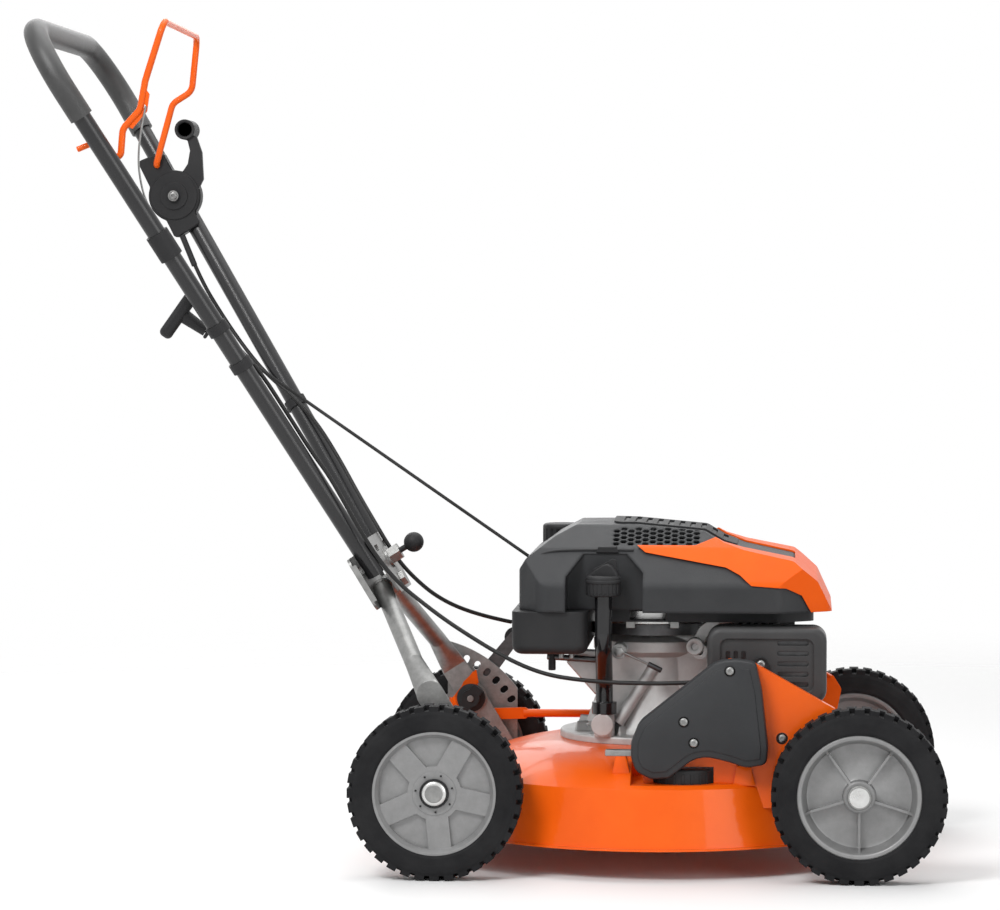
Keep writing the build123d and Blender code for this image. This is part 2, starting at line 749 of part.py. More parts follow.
def cowl_form(grow, floor):
    """Cowl envelope: its side, plan and front outlines carried through each other."""
    with BuildPart() as form:
        with BuildSketch(Plane.XZ):
            with BuildLine():
                Polyline(*cowl_side, close=True)
            make_face()
            fillet(vertices().filter_by(lambda v: v.Y > 310), radius=9)
            offset(amount=grow, kind=Kind.INTERSECTION)
        extrude(amount=200, both=True)
        with BuildSketch(Plane.XY):
            with BuildLine():
                Polyline(*cowl_plan, close=True)
            make_face()
            fillet(vertices(), radius=18)
            offset(amount=grow, kind=Kind.INTERSECTION)
        extrude(amount=500, both=True, mode=Mode.INTERSECT)
        with BuildSketch(Plane.YZ):
            with BuildLine():
                Polyline(*cowl_front, close=True)
            make_face()
            fillet(vertices().filter_by(lambda v: v.Y > 300), radius=12)
            offset(amount=grow, kind=Kind.INTERSECTION)
        extrude(amount=400, both=True, mode=Mode.INTERSECT)
        with BuildSketch(Plane.XY.offset(floor)):
            Rectangle(800, 800)
        extrude(amount=-200, mode=Mode.SUBTRACT)
    return form.part


cowl_outer = cowl_form(0, shroud_bottom)
cowl_skin = cowl_form(accent_thickness, shroud_bottom)
accent_side = [(-19, 378), (-6, 368), (88, 352), (104, 344), (118, 332), (158, 329), (176, 320), (189, 296),
               (230, 296), (230, 420), (-19, 420)]
accent_plan = [(-40, 109), (52, 109), (112, 64), (168, 58), (168, -58), (112, -64), (52, -109), (-40, -109),
               (-40, -200), (230, -200), (230, 200), (-40, 200)]

with BuildPart() as shroud_accent:
    add(cowl_skin)
    add(cowl_outer, mode=Mode.SUBTRACT)
    with BuildSketch(Plane.XZ):
        with BuildLine():
            Polyline(*accent_side, close=True)
        make_face()
    extrude(amount=300, both=True, mode=Mode.INTERSECT)
    with BuildSketch(Plane.XY):
        with BuildLine():
            Polyline(*accent_plan, close=True)
        make_face()
    extrude(amount=500, mode=Mode.INTERSECT)
save(shroud_accent.part, "shroud_accent")

grille_start, grille_end, grille_half = -46.0, 100.0, 54.0
with BuildPart() as vent_grille:
    add(cowl_skin)
    add(cowl_outer, mode=Mode.SUBTRACT)
    with BuildSketch(Plane.XY):
        with Locations(((grille_start + grille_end) / 2, 0)):
            RectangleRounded(grille_end - grille_start, 2 * grille_half, 12)
    extrude(amount=500, mode=Mode.INTERSECT)
    with BuildSketch(Plane.XY.offset(shroud_bottom)):
        with Locations(((grille_start + grille_end) / 2, 0)):
            with GridLocations(13, 0, 10, 1):
                SlotOverall(88, 6, rotation=90)
    extrude(amount=200, mode=Mode.SUBTRACT)
save(vent_grille.part, "vent_grille")

recess_left, recess_right, recess_depth, recess_top = -98.0, -8.0, 38.0, 366.0
fuel_cap_place = (-114.0, 75.0)
fuel_cap_radius = 24.0
neck_radius = 17.0
neck_top = 358.0


def recess_form(grow):
    """Pocket in the cowl's side for the oil filler, grown by a wall."""
    high = -shroud_half_width + recess_depth + grow
    with BuildPart() as form:
        with BuildSketch(side_plane(high)):
            with BuildLine():
                Polyline((recess_left - grow, shroud_bottom), (recess_left - grow, 340),
                         (recess_left + 20 - grow, recess_top + grow),
                         (recess_right - 20 + grow, recess_top + grow),
                         (recess_right + grow, 345), (recess_right + grow, shroud_bottom), close=True)
            make_face()
        extrude(amount=recess_depth + grow + 5)
    return form.part


with BuildPart() as recess_wall:
    add(recess_form(shroud_wall))
    add(cowl_outer, mode=Mode.INTERSECT)

vent_cell = 5.7
vent_place = (6.0, 87.0, 384.5)
vent_tilt = atan2(397.0 - 372.0, 112.0 - 62.0)     # slope of the cowl's upper side faces


def side_vents(side):
    """Honeycomb of holes through one slanted upper face of the cowl."""
    face = Plane(origin=(vent_place[0], side * vent_place[1], vent_place[2]), x_dir=(1, 0, 0),
                 z_dir=(0, side * sin(vent_tilt), cos(vent_tilt)))
    with BuildPart() as holes:
        with BuildSketch(face):
            with HexLocations(vent_cell, 12, 4, major_radius=True):
                RegularPolygon(vent_cell - 1.4, 6)
        extrude(amount=6, both=True)
    return holes.part


with BuildPart() as engine_shroud:
    add(cowl_outer)
    add(cowl_form(-shroud_wall, shroud_bottom - 1), mode=Mode.SUBTRACT)
    add(recess_wall.part)
    add(recess_form(0), mode=Mode.SUBTRACT)
    with BuildSketch(Plane.XY.offset(shroud_bottom)):
        with Locations(fuel_cap_place):
            Circle(fuel_cap_radius + 2)
    extrude(amount=150, mode=Mode.SUBTRACT)
    add(side_vents(1), mode=Mode.SUBTRACT)
    add(side_vents(-1), mode=Mode.SUBTRACT)
save(engine_shroud.part, "engine_shroud")

flywheel_radius = 66.0
base_rise = 4.0
with BuildPart() as blower_base:
    add(cowl_form(-shroud_wall, shroud_bottom))
    with BuildSketch(Plane.XY.offset(shroud_bottom + base_rise)):
        Rectangle(600, 600)
    extrude(amount=200, mode=Mode.SUBTRACT)
    add(recess_form(shroud_wall), mode=Mode.SUBTRACT)
    with BuildSketch(Plane.XY.offset(block_top)):
        with BuildLine():
            Polyline((-64, -100), (150, -100), (190, -70), (190, 96), (150, 140), (-64, 140), close=True)
        make_face()
        fillet(vertices(), radius=16)
    extrude(amount=shroud_bottom - block_top)
    with BuildSketch(Plane.XY.offset(block_top + 6)):
        Circle(flywheel_radius + 3)
    extrude(amount=60, mode=Mode.SUBTRACT)
    with BuildSketch(Plane.XY.offset(block_top)):
        Circle(shaft_radius + 3)
        with Locations(fuel_cap_place):
            Circle(neck_radius + 2)
    extrude(amount=60, mode=Mode.SUBTRACT)
    with BuildSketch(side_plane(-60)):
        with Locations((-4, shroud_bottom - 6)):
            Rectangle(42, 14)
    extrude(amount=60, mode=Mode.SUBTRACT)
save(blower_base.part, "blower_base")

with BuildPart() as flywheel:
    with BuildSketch(Plane.XY.offset(block_top + 9)):
        Circle(flywheel_radius)
        Circle(shaft_radius, mode=Mode.SUBTRACT)
    extrude(amount=12)
    with BuildSketch(Plane.XY.offset(block_top + 21)):
        with PolarLocations(48, 14):
            Rectangle(30, 3, rotation=30)
        Circle(32)
        Circle(shaft_radius, mode=Mode.SUBTRACT)
    extrude(amount=22)
save(flywheel.part, "flywheel")

# ---- Fuel tank, oil filler -------------------------------------------------------------
tank_bottom = 250.0
tank_wall = 2.5
tank_floor = 12.0
filler_radius = 10.0
filler_bore = 8.0
filler_cap_radius = 20.5
with BuildPart() as fuel_tank:
    with BuildSketch(Plane.XY.offset(tank_bottom)):
        with Locations((-116.5, -17.5)):
            RectangleRounded(89, 265, 16)
    extrude(amount=shroud_bottom - tank_bottom)
    fillet(fuel_tank.edges().group_by(Axis.Z)[0], radius=11)
    with BuildSketch(Plane.XY.offset(shroud_bottom)):
        with Locations(fuel_cap_place):
            Circle(neck_radius)
    extrude(amount=neck_top - shroud_bottom)
    with BuildSketch(Plane.XY.offset(tank_bottom + tank_floor)):
        with Locations((-116.5, -17.5)):
            RectangleRounded(89 - 2 * tank_wall, 265 - 2 * tank_wall, 13)
    extrude(amount=shroud_bottom - tank_bottom - tank_floor - tank_wall, mode=Mode.SUBTRACT)
    with BuildSketch(Plane.XY.offset(shroud_bottom - 2 * tank_wall)):
        with Locations(fuel_cap_place):
            Circle(neck_radius - tank_wall)
    extrude(amount=neck_top - shroud_bottom + 2 * tank_wall, mode=Mode.SUBTRACT)
    with Locations((-168, 76, 269)):
        Box(14.4, 16, 14)
save(fuel_tank.part, "fuel_tank")

with BuildPart() as fuel_cap:
    with BuildSketch(Plane.XY.offset(neck_top - 10)):
        with Locations(fuel_cap_place):
            Circle(fuel_cap_radius)
    extrude(amount=42)
    fillet(fuel_cap.edges().group_by(Axis.Z)[-1], radius=4)
    with BuildSketch(Plane.XY.offset(neck_top - 10)):
        with Locations(fuel_cap_place):
            with PolarLocations(fuel_cap_radius + 1, 18):
                Circle(2.4)
    extrude(amount=36, mode=Mode.SUBTRACT)
    with BuildSketch(Plane.XY.offset(neck_top - 10)):
        with Locations(fuel_cap_place):
            Circle(neck_radius + running_gap)
    extrude(amount=10 + seat_gap, mode=Mode.SUBTRACT)
save(fuel_cap.part, "fuel_cap")

filler_route = [(-55, -92, 176), (-55, -92, 214), (-54, -140, 262), filler_top]
with BuildPart() as filler_tube:
    with BuildLine() as route:
        FilletPolyline(*filler_route, radius=32)
    with BuildSketch(Plane.XY.offset(176)):
        with Locations(filler_route[0]):
            Circle(filler_radius)
            Circle(filler_bore, mode=Mode.SUBTRACT)
    sweep(path=route.line)
    with BuildSketch(Plane.XY.offset(176)):
        with Locations(filler_route[0]):
            Circle(14.5)
            Circle(filler_radius - 1, mode=Mode.SUBTRACT)
    extrude(amount=14)
save(filler_tube.part, "filler_tube")

with BuildPart() as dipstick:
    cap_base = filler_top[2] + seat_gap
    with BuildSketch(Plane.XY.offset(cap_base)):
        with Locations(filler_top):
            Circle(filler_cap_radius)
    extrude(amount=20)
    fillet(dipstick.edges().group_by(Axis.Z)[-1], radius=4)
    with BuildSketch(Plane.XY.offset(cap_base)):
        with Locations(filler_top):
            with PolarLocations(filler_cap_radius + 1.2, 20):
                Circle(2)
    extrude(amount=14, mode=Mode.SUBTRACT)
    with BuildSketch(Plane.XZ.offset(-filler_top[1] - 3)):
        with BuildLine():
            Polyline((-70, cap_base + 18), (-66, cap_base + 27), (-44, cap_base + 39), (-39, cap_base + 38),
                     (-37, cap_base + 18), close=True)
        make_face()
        fillet(vertices().filter_by(lambda v: v.Y > cap_base + 20), radius=2.5)
    extrude(amount=6)
    with BuildSketch(Plane.XY.offset(cap_base)):
        with Locations(filler_top):
            Circle(filler_bore - running_gap)
    extrude(amount=-12)
    with BuildSketch(Plane.XY.offset(cap_base - 12)):
        with Locations(filler_top):
            Rectangle(6, 2)
    extrude(amount=-40)
save(dipstick.part, "dipstick")

# ---- Drive housing, its cover, and the screws of the chassis -----------------------------
cover_wall = 2.5
cover_screws = [(94.4, 240.0), (42.0, 181.4), (53.5, 157.4)]
bracket_screw = (153.9, 160.5)
flange_bolt_circle = 98.0


def screw(place, seat, radius=4.6):
    """Socket button screw on a side face, with its shank let into the part."""
    with BuildPart() as piece:
        with BuildSketch(side_plane(seat)):
            with Locations(place):
                Circle(radius)
        extrude(amount=2.6)
        with BuildSketch(side_plane(seat - 1)):
            with Locations(place):
                RegularPolygon(2.4, 6)
        extrude(amount=2, mode=Mode.SUBTRACT)
    return piece.part


with BuildPart() as drive_drum:
    add(drum_form(0))
    fillet(drive_drum.edges().group_by(Axis.Z)[-1], radius=3)
    with BuildSketch(Plane.XY.offset(pocket_floor)):
        with Locations(drum_place):
            with PolarLocations(drum_radius - 1.5, 24):
                Rectangle(5, 2.5)
    extrude(amount=drum_top - pocket_floor - 5)
save(drive_drum.part, "drive_drum")


def cover_form(inset, low, high):
    """Slab with the drive cover's outline between two Y planes."""
    with BuildPart() as form:
        with BuildSketch(side_plane(high)):
            with BuildLine():
                Polyline(*cover_points, close=True)
            make_face()
            fillet(vertices().filter_by(lambda v: v.X < 20 or v.Y > 235), radius=9)
            offset(amount=-inset, kind=Kind.INTERSECTION)
        extrude(amount=high - low)
    return form.part


with BuildPart() as drive_cover:
    add(cover_form(0, -cover_outer + 4, -bracket_outer))
    add(cover_form(2, -cover_outer + 2, -cover_outer + 4.01))
    add(cover_form(12, -cover_outer, -cover_outer + 2.01))
    add(cover_form(cover_wall, -cover_outer + 6, -bracket_outer + 1), mode=Mode.SUBTRACT)
    add(drum_form(drum_clearance), mode=Mode.SUBTRACT)
save(drive_cover.part, "drive_cover")

with BuildPart() as chassis_screws:
    with BuildSketch(Plane.XY.offset(flange_top)):
        with PolarLocations(flange_bolt_circle, 4, start_angle=45):
            RegularPolygon(8, 6)
    extrude(amount=7)
    with BuildSketch(Plane.XY.offset(deck_top)):
        with PolarLocations(flange_bolt_circle, 4, start_angle=45):
            Circle(4.5)
    extrude(amount=flange_thickness)
    with BuildSketch(side_plane(-106)):
        with Locations(drain_place):
            RegularPolygon(10.5, 6)
    extrude(amount=9)
    with BuildSketch(side_plane(-92)):
        with Locations(cover_boss):
            RegularPolygon(6.5, 6)
    extrude(amount=5)
    add(screw(cover_screws[0], -cover_outer + 2))
    add(screw(cover_screws[1], -cover_outer))
    add(screw(cover_screws[2], -cover_outer))
    add(screw(bracket_screw, -bracket_outer))
save(chassis_screws.part, "chassis_screws")

# ---- Struts between the deck and the handle ----------------------------------------------
strut_radius = 11.0
strut_elbow = (-274.3, 150.3, 240.7)
foot_joint = (-254.0, 204.5)
foot_middle = foot_inner + foot_thickness / 2
lock_reach = hypot(lock_x - tilt_x, lock_z - tilt_z)
tilt_bolt_radius = 5.0
tilt_forward, tilt_back = 25, 8


def strut(side):
    """Tube flattened at its lower end, with the slotted foot plate and a top cap."""
    top = on_handle(side * strut_top_y, strut_top_u, strut_plane)
    elbow = Vector(strut_elbow[0], side * strut_elbow[1], strut_elbow[2])
    joint = Vector(foot_joint[0], side * foot_middle, foot_joint[1])
    foot_axis = (Vector(tilt_x, 0, tilt_z) - Vector(foot_joint[0], 0, foot_joint[1])).normalized()
    low, high = span(side, foot_inner, foot_inner + foot_thickness)
    with BuildPart() as piece:
        add(rod(top, elbow, strut_radius))
        with BuildSketch(Plane(origin=elbow, z_dir=(elbow - top).normalized())):
            Circle(strut_radius)
        with BuildSketch(Plane(origin=joint, x_dir=(0, 1, 0), z_dir=foot_axis)):
            RectangleRounded(foot_thickness, foot_width, foot_thickness / 2 - 0.1)
        loft()
        with BuildSketch(side_plane(high)):
            add(arm_outline(foot_joint, (tilt_x, tilt_z), foot_width / 2, 15))
        extrude(amount=high - low)
        with BuildSketch(side_plane(high)):
            with Locations((tilt_x, tilt_z)):
                Circle(tilt_bolt_radius + running_gap)
            slot_start = degrees(atan2(lock_z - tilt_z, lock_x - tilt_x)) - tilt_back - 1
            add(arc_slot((tilt_x, tilt_z), lock_reach, slot_start, tilt_back + tilt_forward + 5,
                         2 * lock_radius + 1))
        extrude(amount=high - low, mode=Mode.SUBTRACT)
        add(rod(top, top + (top - elbow).normalized() * 5, strut_radius + 0.6))
    return piece.part


save(strut(1), "strut_left")
save(strut(-1), "strut_right")

# Lock of the handle tilt: bolt, washer and pivot on each side of the deck.
washer_outer = 163.7
block_inner = 146.0


def lock_pins(side):
    """Lock bolt with its disc and the tilt pivot bolt of one side."""
    with BuildPart() as piece:
        add(rod((lock_x, side * (block_inner - 2), lock_z), (lock_x, side * 169, lock_z), lock_radius))
        add(rod((lock_x, side * (hook_outer - seat_gap), lock_z), (lock_x, side * washer_outer, lock_z), 19))
        add(rod((lock_x, side * (foot_inner + foot_thickness + seat_gap), lock_z),
                (lock_x, side * 169.6, lock_z), 7))
        add(rod((tilt_x, side * 161, tilt_z), (tilt_x, side * 175, tilt_z), tilt_bolt_radius))
        add(rod((tilt_x, side * clevis_outer, tilt_z), (tilt_x, side * 176.5, tilt_z), 9))
        add(rod((tilt_x, side * 160.8, tilt_z), (tilt_x, side * (foot_inner - seat_gap), tilt_z), 9))
    return piece.part


with BuildPart() as lock_hardware:
    add(lock_pins(1))
    add(lock_pins(-1))
save(lock_hardware.part, "lock_hardware")


def lock_knob(side):
    """Wing block turned by hand on the lock bolt, inside the hook plate."""
    low, high = span(side, block_inner, hook_inner - seat_gap)
    with BuildPart() as knob:
        with BuildSketch(side_plane(high)):
            with Locations(Location((lock_x, lock_z), 55)):
                RectangleRounded(34, 15, 3)
                Circle(11)
        extrude(amount=high - low)
        with BuildSketch(side_plane(high)):
            with Locations((lock_x, lock_z)):
                Circle(lock_radius + running_gap)
        extrude(amount=high - low, mode=Mode.SUBTRACT)
    return knob.part


save(lock_knob(1), "lock_knob_left")
save(lock_knob(-1), "lock_knob_right")

# ---- Swivel plates between the struts and the handle --------------------------------------
rear_plate_face = -121.0
rear_plate_thickness = 3.0
front_plate_face = -94.3
front_plate_thickness = 3.3
swivel_bolt_radius = 6.0
plunger_reach = plunger_u - swivel_u

with BuildPart() as rear_plate:
    with BuildSketch(handle_plane(rear_plate_face - rear_plate_thickness)):
        with Locations((0, (421 + 490) / 2)):
            RectangleRounded(190, 490 - 421, 10)
    extrude(amount=rear_plate_thickness)
    with BuildSketch(handle_plane(rear_plate_face - rear_plate_thickness)):
        with Locations((93.5, (431 + 480) / 2), (-93.5, (431 + 480) / 2)):
            Rectangle(3, 49)
    extrude(amount=rear_plate_thickness + 4)
    with BuildSketch(handle_plane(rear_plate_face - rear_plate_thickness)):
        with Locations((0, swivel_u)):
            Circle(swivel_bolt_radius)
        add(arc_slot((0, swivel_u), plunger_reach, 88 - swivel_range, 2 * swivel_range + 4,
                     2 * plunger_radius + 1))
        with Locations((55, 470), (-55, 470)):
            SlotOverall(30, 9)
    extrude(amount=rear_plate_thickness, mode=Mode.SUBTRACT)
save(rear_plate.part, "rear_plate")

with BuildPart() as front_plate:
    with BuildSketch(handle_plane(front_plate_face)):
        with BuildLine():
            Polyline((-62, 424), (62, 424), (88, 500), (-88, 500), close=True)
        make_face()
        fillet(vertices(), radius=7)
        with Locations((0, swivel_u)):
            Circle(swivel_bolt_radius + running_gap, mode=Mode.SUBTRACT)
        with Locations((46, 484), (-46, 484)):
            SlotOverall(32, 8, mode=Mode.SUBTRACT)
    extrude(amount=front_plate_thickness)
    with BuildSketch(handle_plane(front_plate_face + front_plate_thickness)):
        with Locations((0, plunger_u)):
            Circle(14)
    extrude(amount=3)
    with BuildSketch(handle_plane(front_plate_face + front_plate_thickness)):
        with Locations((0, plunger_u)):
            RegularPolygon(11, 6)
    extrude(amount=17)
    with BuildSketch(handle_plane(front_plate_face)):
        with Locations((0, plunger_u)):
            Circle(plunger_radius + running_gap)
    extrude(amount=30, mode=Mode.SUBTRACT)
save(front_plate.part, "front_plate")

with BuildPart() as swivel_bolt:
    add(rod(on_handle(0, swivel_u, rear_plate_face - 9), on_handle(0, swivel_u, front_plate_face + 9),
            swivel_bolt_radius))
    add(rod(on_handle(0, swivel_u, rear_plate_face), on_handle(0, swivel_u, front_plate_face - seat_gap), 12))
    with BuildSketch(handle_plane(rear_plate_face - rear_plate_thickness - 7)):
        with Locations((0, swivel_u)):
            RegularPolygon(11, 6)
    extrude(amount=7)
    with BuildSketch(handle_plane(front_plate_face + front_plate_thickness + seat_gap)):
        with Locations((0, swivel_u)):
            RegularPolygon(10, 6)
    extrude(amount=6)
save(swivel_bolt.part, "swivel_bolt")

with BuildPart() as plunger:
    add(rod(on_handle(0, plunger_u, rear_plate_face - 2.5), on_handle(0, plunger_u, -56), plunger_radius))
    with Locations(on_handle(0, plunger_u, -54.8)):
        Sphere(12)
save(plunger.part, "plunger")

# ---- Handle tube and grip -------------------------------------------------------------------
def handle_route(foot_u):
    """Corner points of the handle loop from one foot, over the bar, to the other."""
    return [on_handle(leg_y(foot_u), foot_u, tube_plane),
            on_handle(leg_y(grip_bar_u), grip_bar_u, tube_plane),
            on_handle(-leg_y(grip_bar_u), grip_bar_u, tube_plane),
            on_handle(-leg_y(foot_u), foot_u, tube_plane)]


def handle_sleeve(foot_u, outer, inner):
    """Round sleeve swept along the handle loop."""
    with BuildPart() as sleeve:
        with BuildLine() as route:
            FilletPolyline(*handle_route(foot_u), radius=handle_corner)
        start = route.line.edges()[0]
        with BuildSketch(Plane(origin=start @ 0, z_dir=start % 0)):
            Circle(outer)
            Circle(inner, mode=Mode.SUBTRACT)
        sweep(path=route.line)
    return sleeve.part


def leg_rod(side, low_u, high_u, radius):
    """Straight bar along one handle leg between two heights up the slope."""
    return rod(on_handle(side * leg_y(low_u), low_u, tube_plane),
               on_handle(side * leg_y(high_u), high_u, tube_plane), radius)


with BuildPart() as handle_tube:
    add(handle_sleeve(tube_foot_u, tube_radius, tube_radius - tube_wall))
    add(rod((bail_x, -180, bail_z), (bail_x, -198, bail_z), bail_radius + running_gap), mode=Mode.SUBTRACT)
save(handle_tube.part, "handle_tube")

with BuildPart() as grip:
    add(handle_sleeve(grip_end_u, grip_radius, tube_radius))
save(grip.part, "grip")

# ---- Drive control on the far leg --------------------------------------------------------------
housing_inner, housing_outer = 166.0, 196.0
lever_slot_inner, lever_slot_outer = 167.4, 175.6
lever_low, lever_high = 167.7, 175.3
lever_top = (-590.0, 872.0)
lever_grip_radius = 12.6
stub_radius = 6.0
hub_turn_radius = 20.0

with BuildPart() as control_housing:
    with BuildSketch(side_plane(housing_outer)):
        with BuildLine():
            Polyline((-649.8, 832.2), (-619.5, 844.5), (-570.8, 756.1), (-602.3, 736.2), close=True)
        make_face()
        with Locations((control_x, control_z)):
            Circle(32)
        fillet(vertices(), radius=5)
    extrude(amount=housing_outer - housing_inner)
    chamfer(control_housing.faces().sort_by(Axis.Y)[0].edges(), length=1.2)
    with BuildSketch(side_plane(lever_slot_outer)):
        with Locations((control_x, control_z)):
            Circle(hub_turn_radius + 2)
        with BuildLine():
            Polyline((control_x - 6, control_z), (control_x - 22, control_z + 66),
                     (control_x + 20, control_z + 80), (control_x + 80, control_z + 40),
                     (control_x + 60, control_z - 32), (control_x + 4, control_z - 18), close=True)
        make_face()
    extrude(amount=lever_slot_outer - lever_slot_inner, mode=Mode.SUBTRACT)
    add(rod((control_x, 163.6, control_z), (control_x, 178, control_z), stub_radius))
    add(rod((control_x, 164.4, control_z), (control_x, housing_inner, control_z), 29))
    add(rod((control_x, 163, control_z), (control_x, 165, control_z), 17))
    with BuildSketch(side_plane(163)):
        with Locations((control_x, control_z)):
            RegularPolygon(8, 6)
    extrude(amount=4)
    add(leg_rod(1, 900, 1080, tube_radius), mode=Mode.SUBTRACT)
    add(rod((bail_x, 160, bail_z), (bail_x, 175, bail_z), bail_radius + running_gap), mode=Mode.SUBTRACT)
save(control_housing.part, "control_housing")

with BuildPart() as control_lever:
    with BuildSketch(side_plane(lever_high)):
        with Locations((control_x, control_z)):
            Circle(hub_turn_radius)
        with BuildLine():
            Polyline((-597, 866), (-576, 864), (-569, 843.6), (-567.3, 810.5), (-576, 793),
                     (control_x, control_z), (-600, 812), (-591.4, 822.3), (-586.7, 829.4),
                     (-583.8, 846), (-586.7, 857.8), close=True)
        make_face()
        with Locations((control_x, control_z)):
            Circle(stub_radius + running_gap, mode=Mode.SUBTRACT)
    extrude(amount=lever_high - lever_low)
    add(rod((lever_top[0], lever_low, lever_top[1]), (lever_top[0], 208, lever_top[1]), lever_grip_radius))
    add(rod((lever_top[0], lever_high + 3, lever_top[1]), (lever_top[0], 209, lever_top[1]),
            lever_grip_radius - 3), mode=Mode.SUBTRACT)
save(control_lever.part, "control_lever")

# ---- Bail: the wire lever that is held against the grip ---------------------------------------
bail_near, bail_far = -186.0, 160.0
bail_route = [(bail_x, -197, bail_z), (bail_x, bail_near, bail_z), (-611, bail_near, 827),
              (-608.4, bail_near, 860), (-588, bail_near, 882), (-582, bail_near, 915),
              (-560, bail_near, 984), (-573, bail_far, 986), (-580, bail_far, 919),
              (-604, bail_far, 904), (bail_x, bail_far, bail_z), (bail_x, 174, bail_z)]
with BuildPart() as bail:
    with BuildLine() as route:
        FilletPolyline(*bail_route, radius=[min(radius, 16) for radius in route_radii(bail_route)])
    start = route.line.edges()[0]
    with BuildSketch(Plane(origin=start @ 0, z_dir=start % 0)):
        Circle(bail_radius)
    sweep(path=route.line)
    with BuildSketch(side_plane(bail_near + 2)):
        with BuildLine():
            Polyline((-606, 864), (-588, 882), (-583, 908), (-577, 900), (-580, 880), (-597, 860), close=True)
        make_face()
        with Locations((-583.5, 886)):
            Circle(2.2, mode=Mode.SUBTRACT)
    extrude(amount=3)
save(bail.part, "bail")

# ---- Starter grip, rope, clips and cables --------------------------------------------------------
rope_direction = (Vector(*rope_end) - Vector(*rope_start)).normalized()
grip_bar_axis = Vector(0.581, 0, 0.814)
starter_reach = 37.0
eye_radius = 6.0
eye_wire = 2.2
with BuildPart() as starter_grip:
    bar_place = Vector(*rope_start) - rope_direction * starter_reach
    with BuildSketch(Plane(origin=bar_place - rope_direction * 8, x_dir=grip_bar_axis, z_dir=rope_direction)):
        SlotOverall(68, 20)
    extrude(amount=16)
    fillet(starter_grip.edges(), radius=6)
    with BuildSketch(Plane(origin=bar_place, z_dir=rope_direction)):
        Circle(9)
    extrude(amount=starter_reach, taper=4)
    add(rod(Vector(*rope_start) - rope_direction * 10, Vector(*rope_start), rope_radius), mode=Mode.SUBTRACT)
save(starter_grip.part, "starter_grip")

with BuildPart() as starter_rope:
    add(rod(Vector(*rope_start) - rope_direction * 9,
            Vector(*rope_end) + rope_direction * seat_gap, rope_radius))
print("starter rope:", round((Vector(*rope_end) - Vector(*rope_start)).length), "mm, straight")
save(starter_rope.part, "starter_rope")

with BuildPart() as tube_clips:
    for side, low_u, high_u, radius in ((-1, 896, 928, 14), (-1, 743, 755, 13.5), (1, 682, 693, 13.5),
                                        (-1, 793, 805, 13.2)):
        add(leg_rod(side, low_u, high_u, radius))
        add(leg_rod(side, low_u - 5, high_u + 5, tube_radius), mode=Mode.SUBTRACT)
    eye = Vector(*rope_start) + rope_direction * (eye_wire + 2 * seat_gap)
    eye_out = rope_direction.cross(Vector(0, 0, 1)).normalized() * eye_radius
    with BuildSketch(Plane(origin=eye + eye_out, z_dir=rope_direction.cross(eye_out).normalized())):
        Circle(eye_wire)
    revolve(axis=Axis(eye, rope_direction))
    add(rod(eye + eye_out, on_handle(-leg_y(799) + tube_radius - 0.5, 799, tube_plane), eye_wire))
    with Locations(Plane(origin=on_handle(-leg_y(910) + 15.5, 910, tube_plane + 4), z_dir=(0, 1, 0))):
        Cylinder(5, 5)
save(tube_clips.part, "tube_clips")

control_route = [(-594, 168, 741), (-571, 160, 688), (-544, 157, 644), (-515, 146, 604), (-483, 124, 569),
                 (-446, 109, 541), (-416, 100, 508), (-388, 86, 466), (-363, 66, 425), (-340, 40, 392),
                 (-318, 32, 357), (-297, 34, 330), (-262, 42, 299), (-215, 60, 278), (-176.5, 75, 269)]
drive_route = [(-559, -159, 719), (-530, -146, 672), (-502, -132, 625), (-462, -123, 585), (-425, -114, 526),
               (-399, -106, 483), (-379, -104, 456), (-360, -102, 422), (-340, -102, 387), (-319, -104, 355),
               (-295, -108, 328), (-268, -112, 307), (-240, -118, 287), (-211, -124, 269), (-180, -130, 251),
               (-149, -138, 236), (-117, -146, 226), (-83, -156, 222), (-47, -164, 220), (-10, -172, 220),
               (23, -182, 221), (60, -193.2, 224)]
bail_wire_route = [(-581, -188.7, 886), (-592, -188.7, 838), (-588, -176, 785), (-572, -168, 755),
                   (-563, -162.6, 738)]
save(cord("control_cable", control_route, cable_radius), "control_cable")
save(cord("drive_cable", drive_route, cable_radius), "drive_cable")
save(cord("bail_wire", bail_wire_route, 1.2), "bail_wire")
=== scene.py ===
import json
from math import cos, pi, radians, sin

import bmesh
import bpy
from mathutils import Matrix, Vector


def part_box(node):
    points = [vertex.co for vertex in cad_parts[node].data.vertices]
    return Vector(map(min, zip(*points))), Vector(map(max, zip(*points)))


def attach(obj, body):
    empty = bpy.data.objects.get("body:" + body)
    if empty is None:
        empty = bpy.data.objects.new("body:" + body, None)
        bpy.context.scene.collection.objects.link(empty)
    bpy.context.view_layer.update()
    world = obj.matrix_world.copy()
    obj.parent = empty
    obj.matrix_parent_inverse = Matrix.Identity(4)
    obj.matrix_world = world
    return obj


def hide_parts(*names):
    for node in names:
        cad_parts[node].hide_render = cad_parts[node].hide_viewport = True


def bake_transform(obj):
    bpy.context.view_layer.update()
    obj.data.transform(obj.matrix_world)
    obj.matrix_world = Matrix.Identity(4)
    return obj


# The mower drives towards +X, the photograph shows its -Y side, and Z is up.
# Shapes and places are in millimetres, and become metres where vertices are made.
# The lines that cords follow, materials, lamps and the camera are in metres.

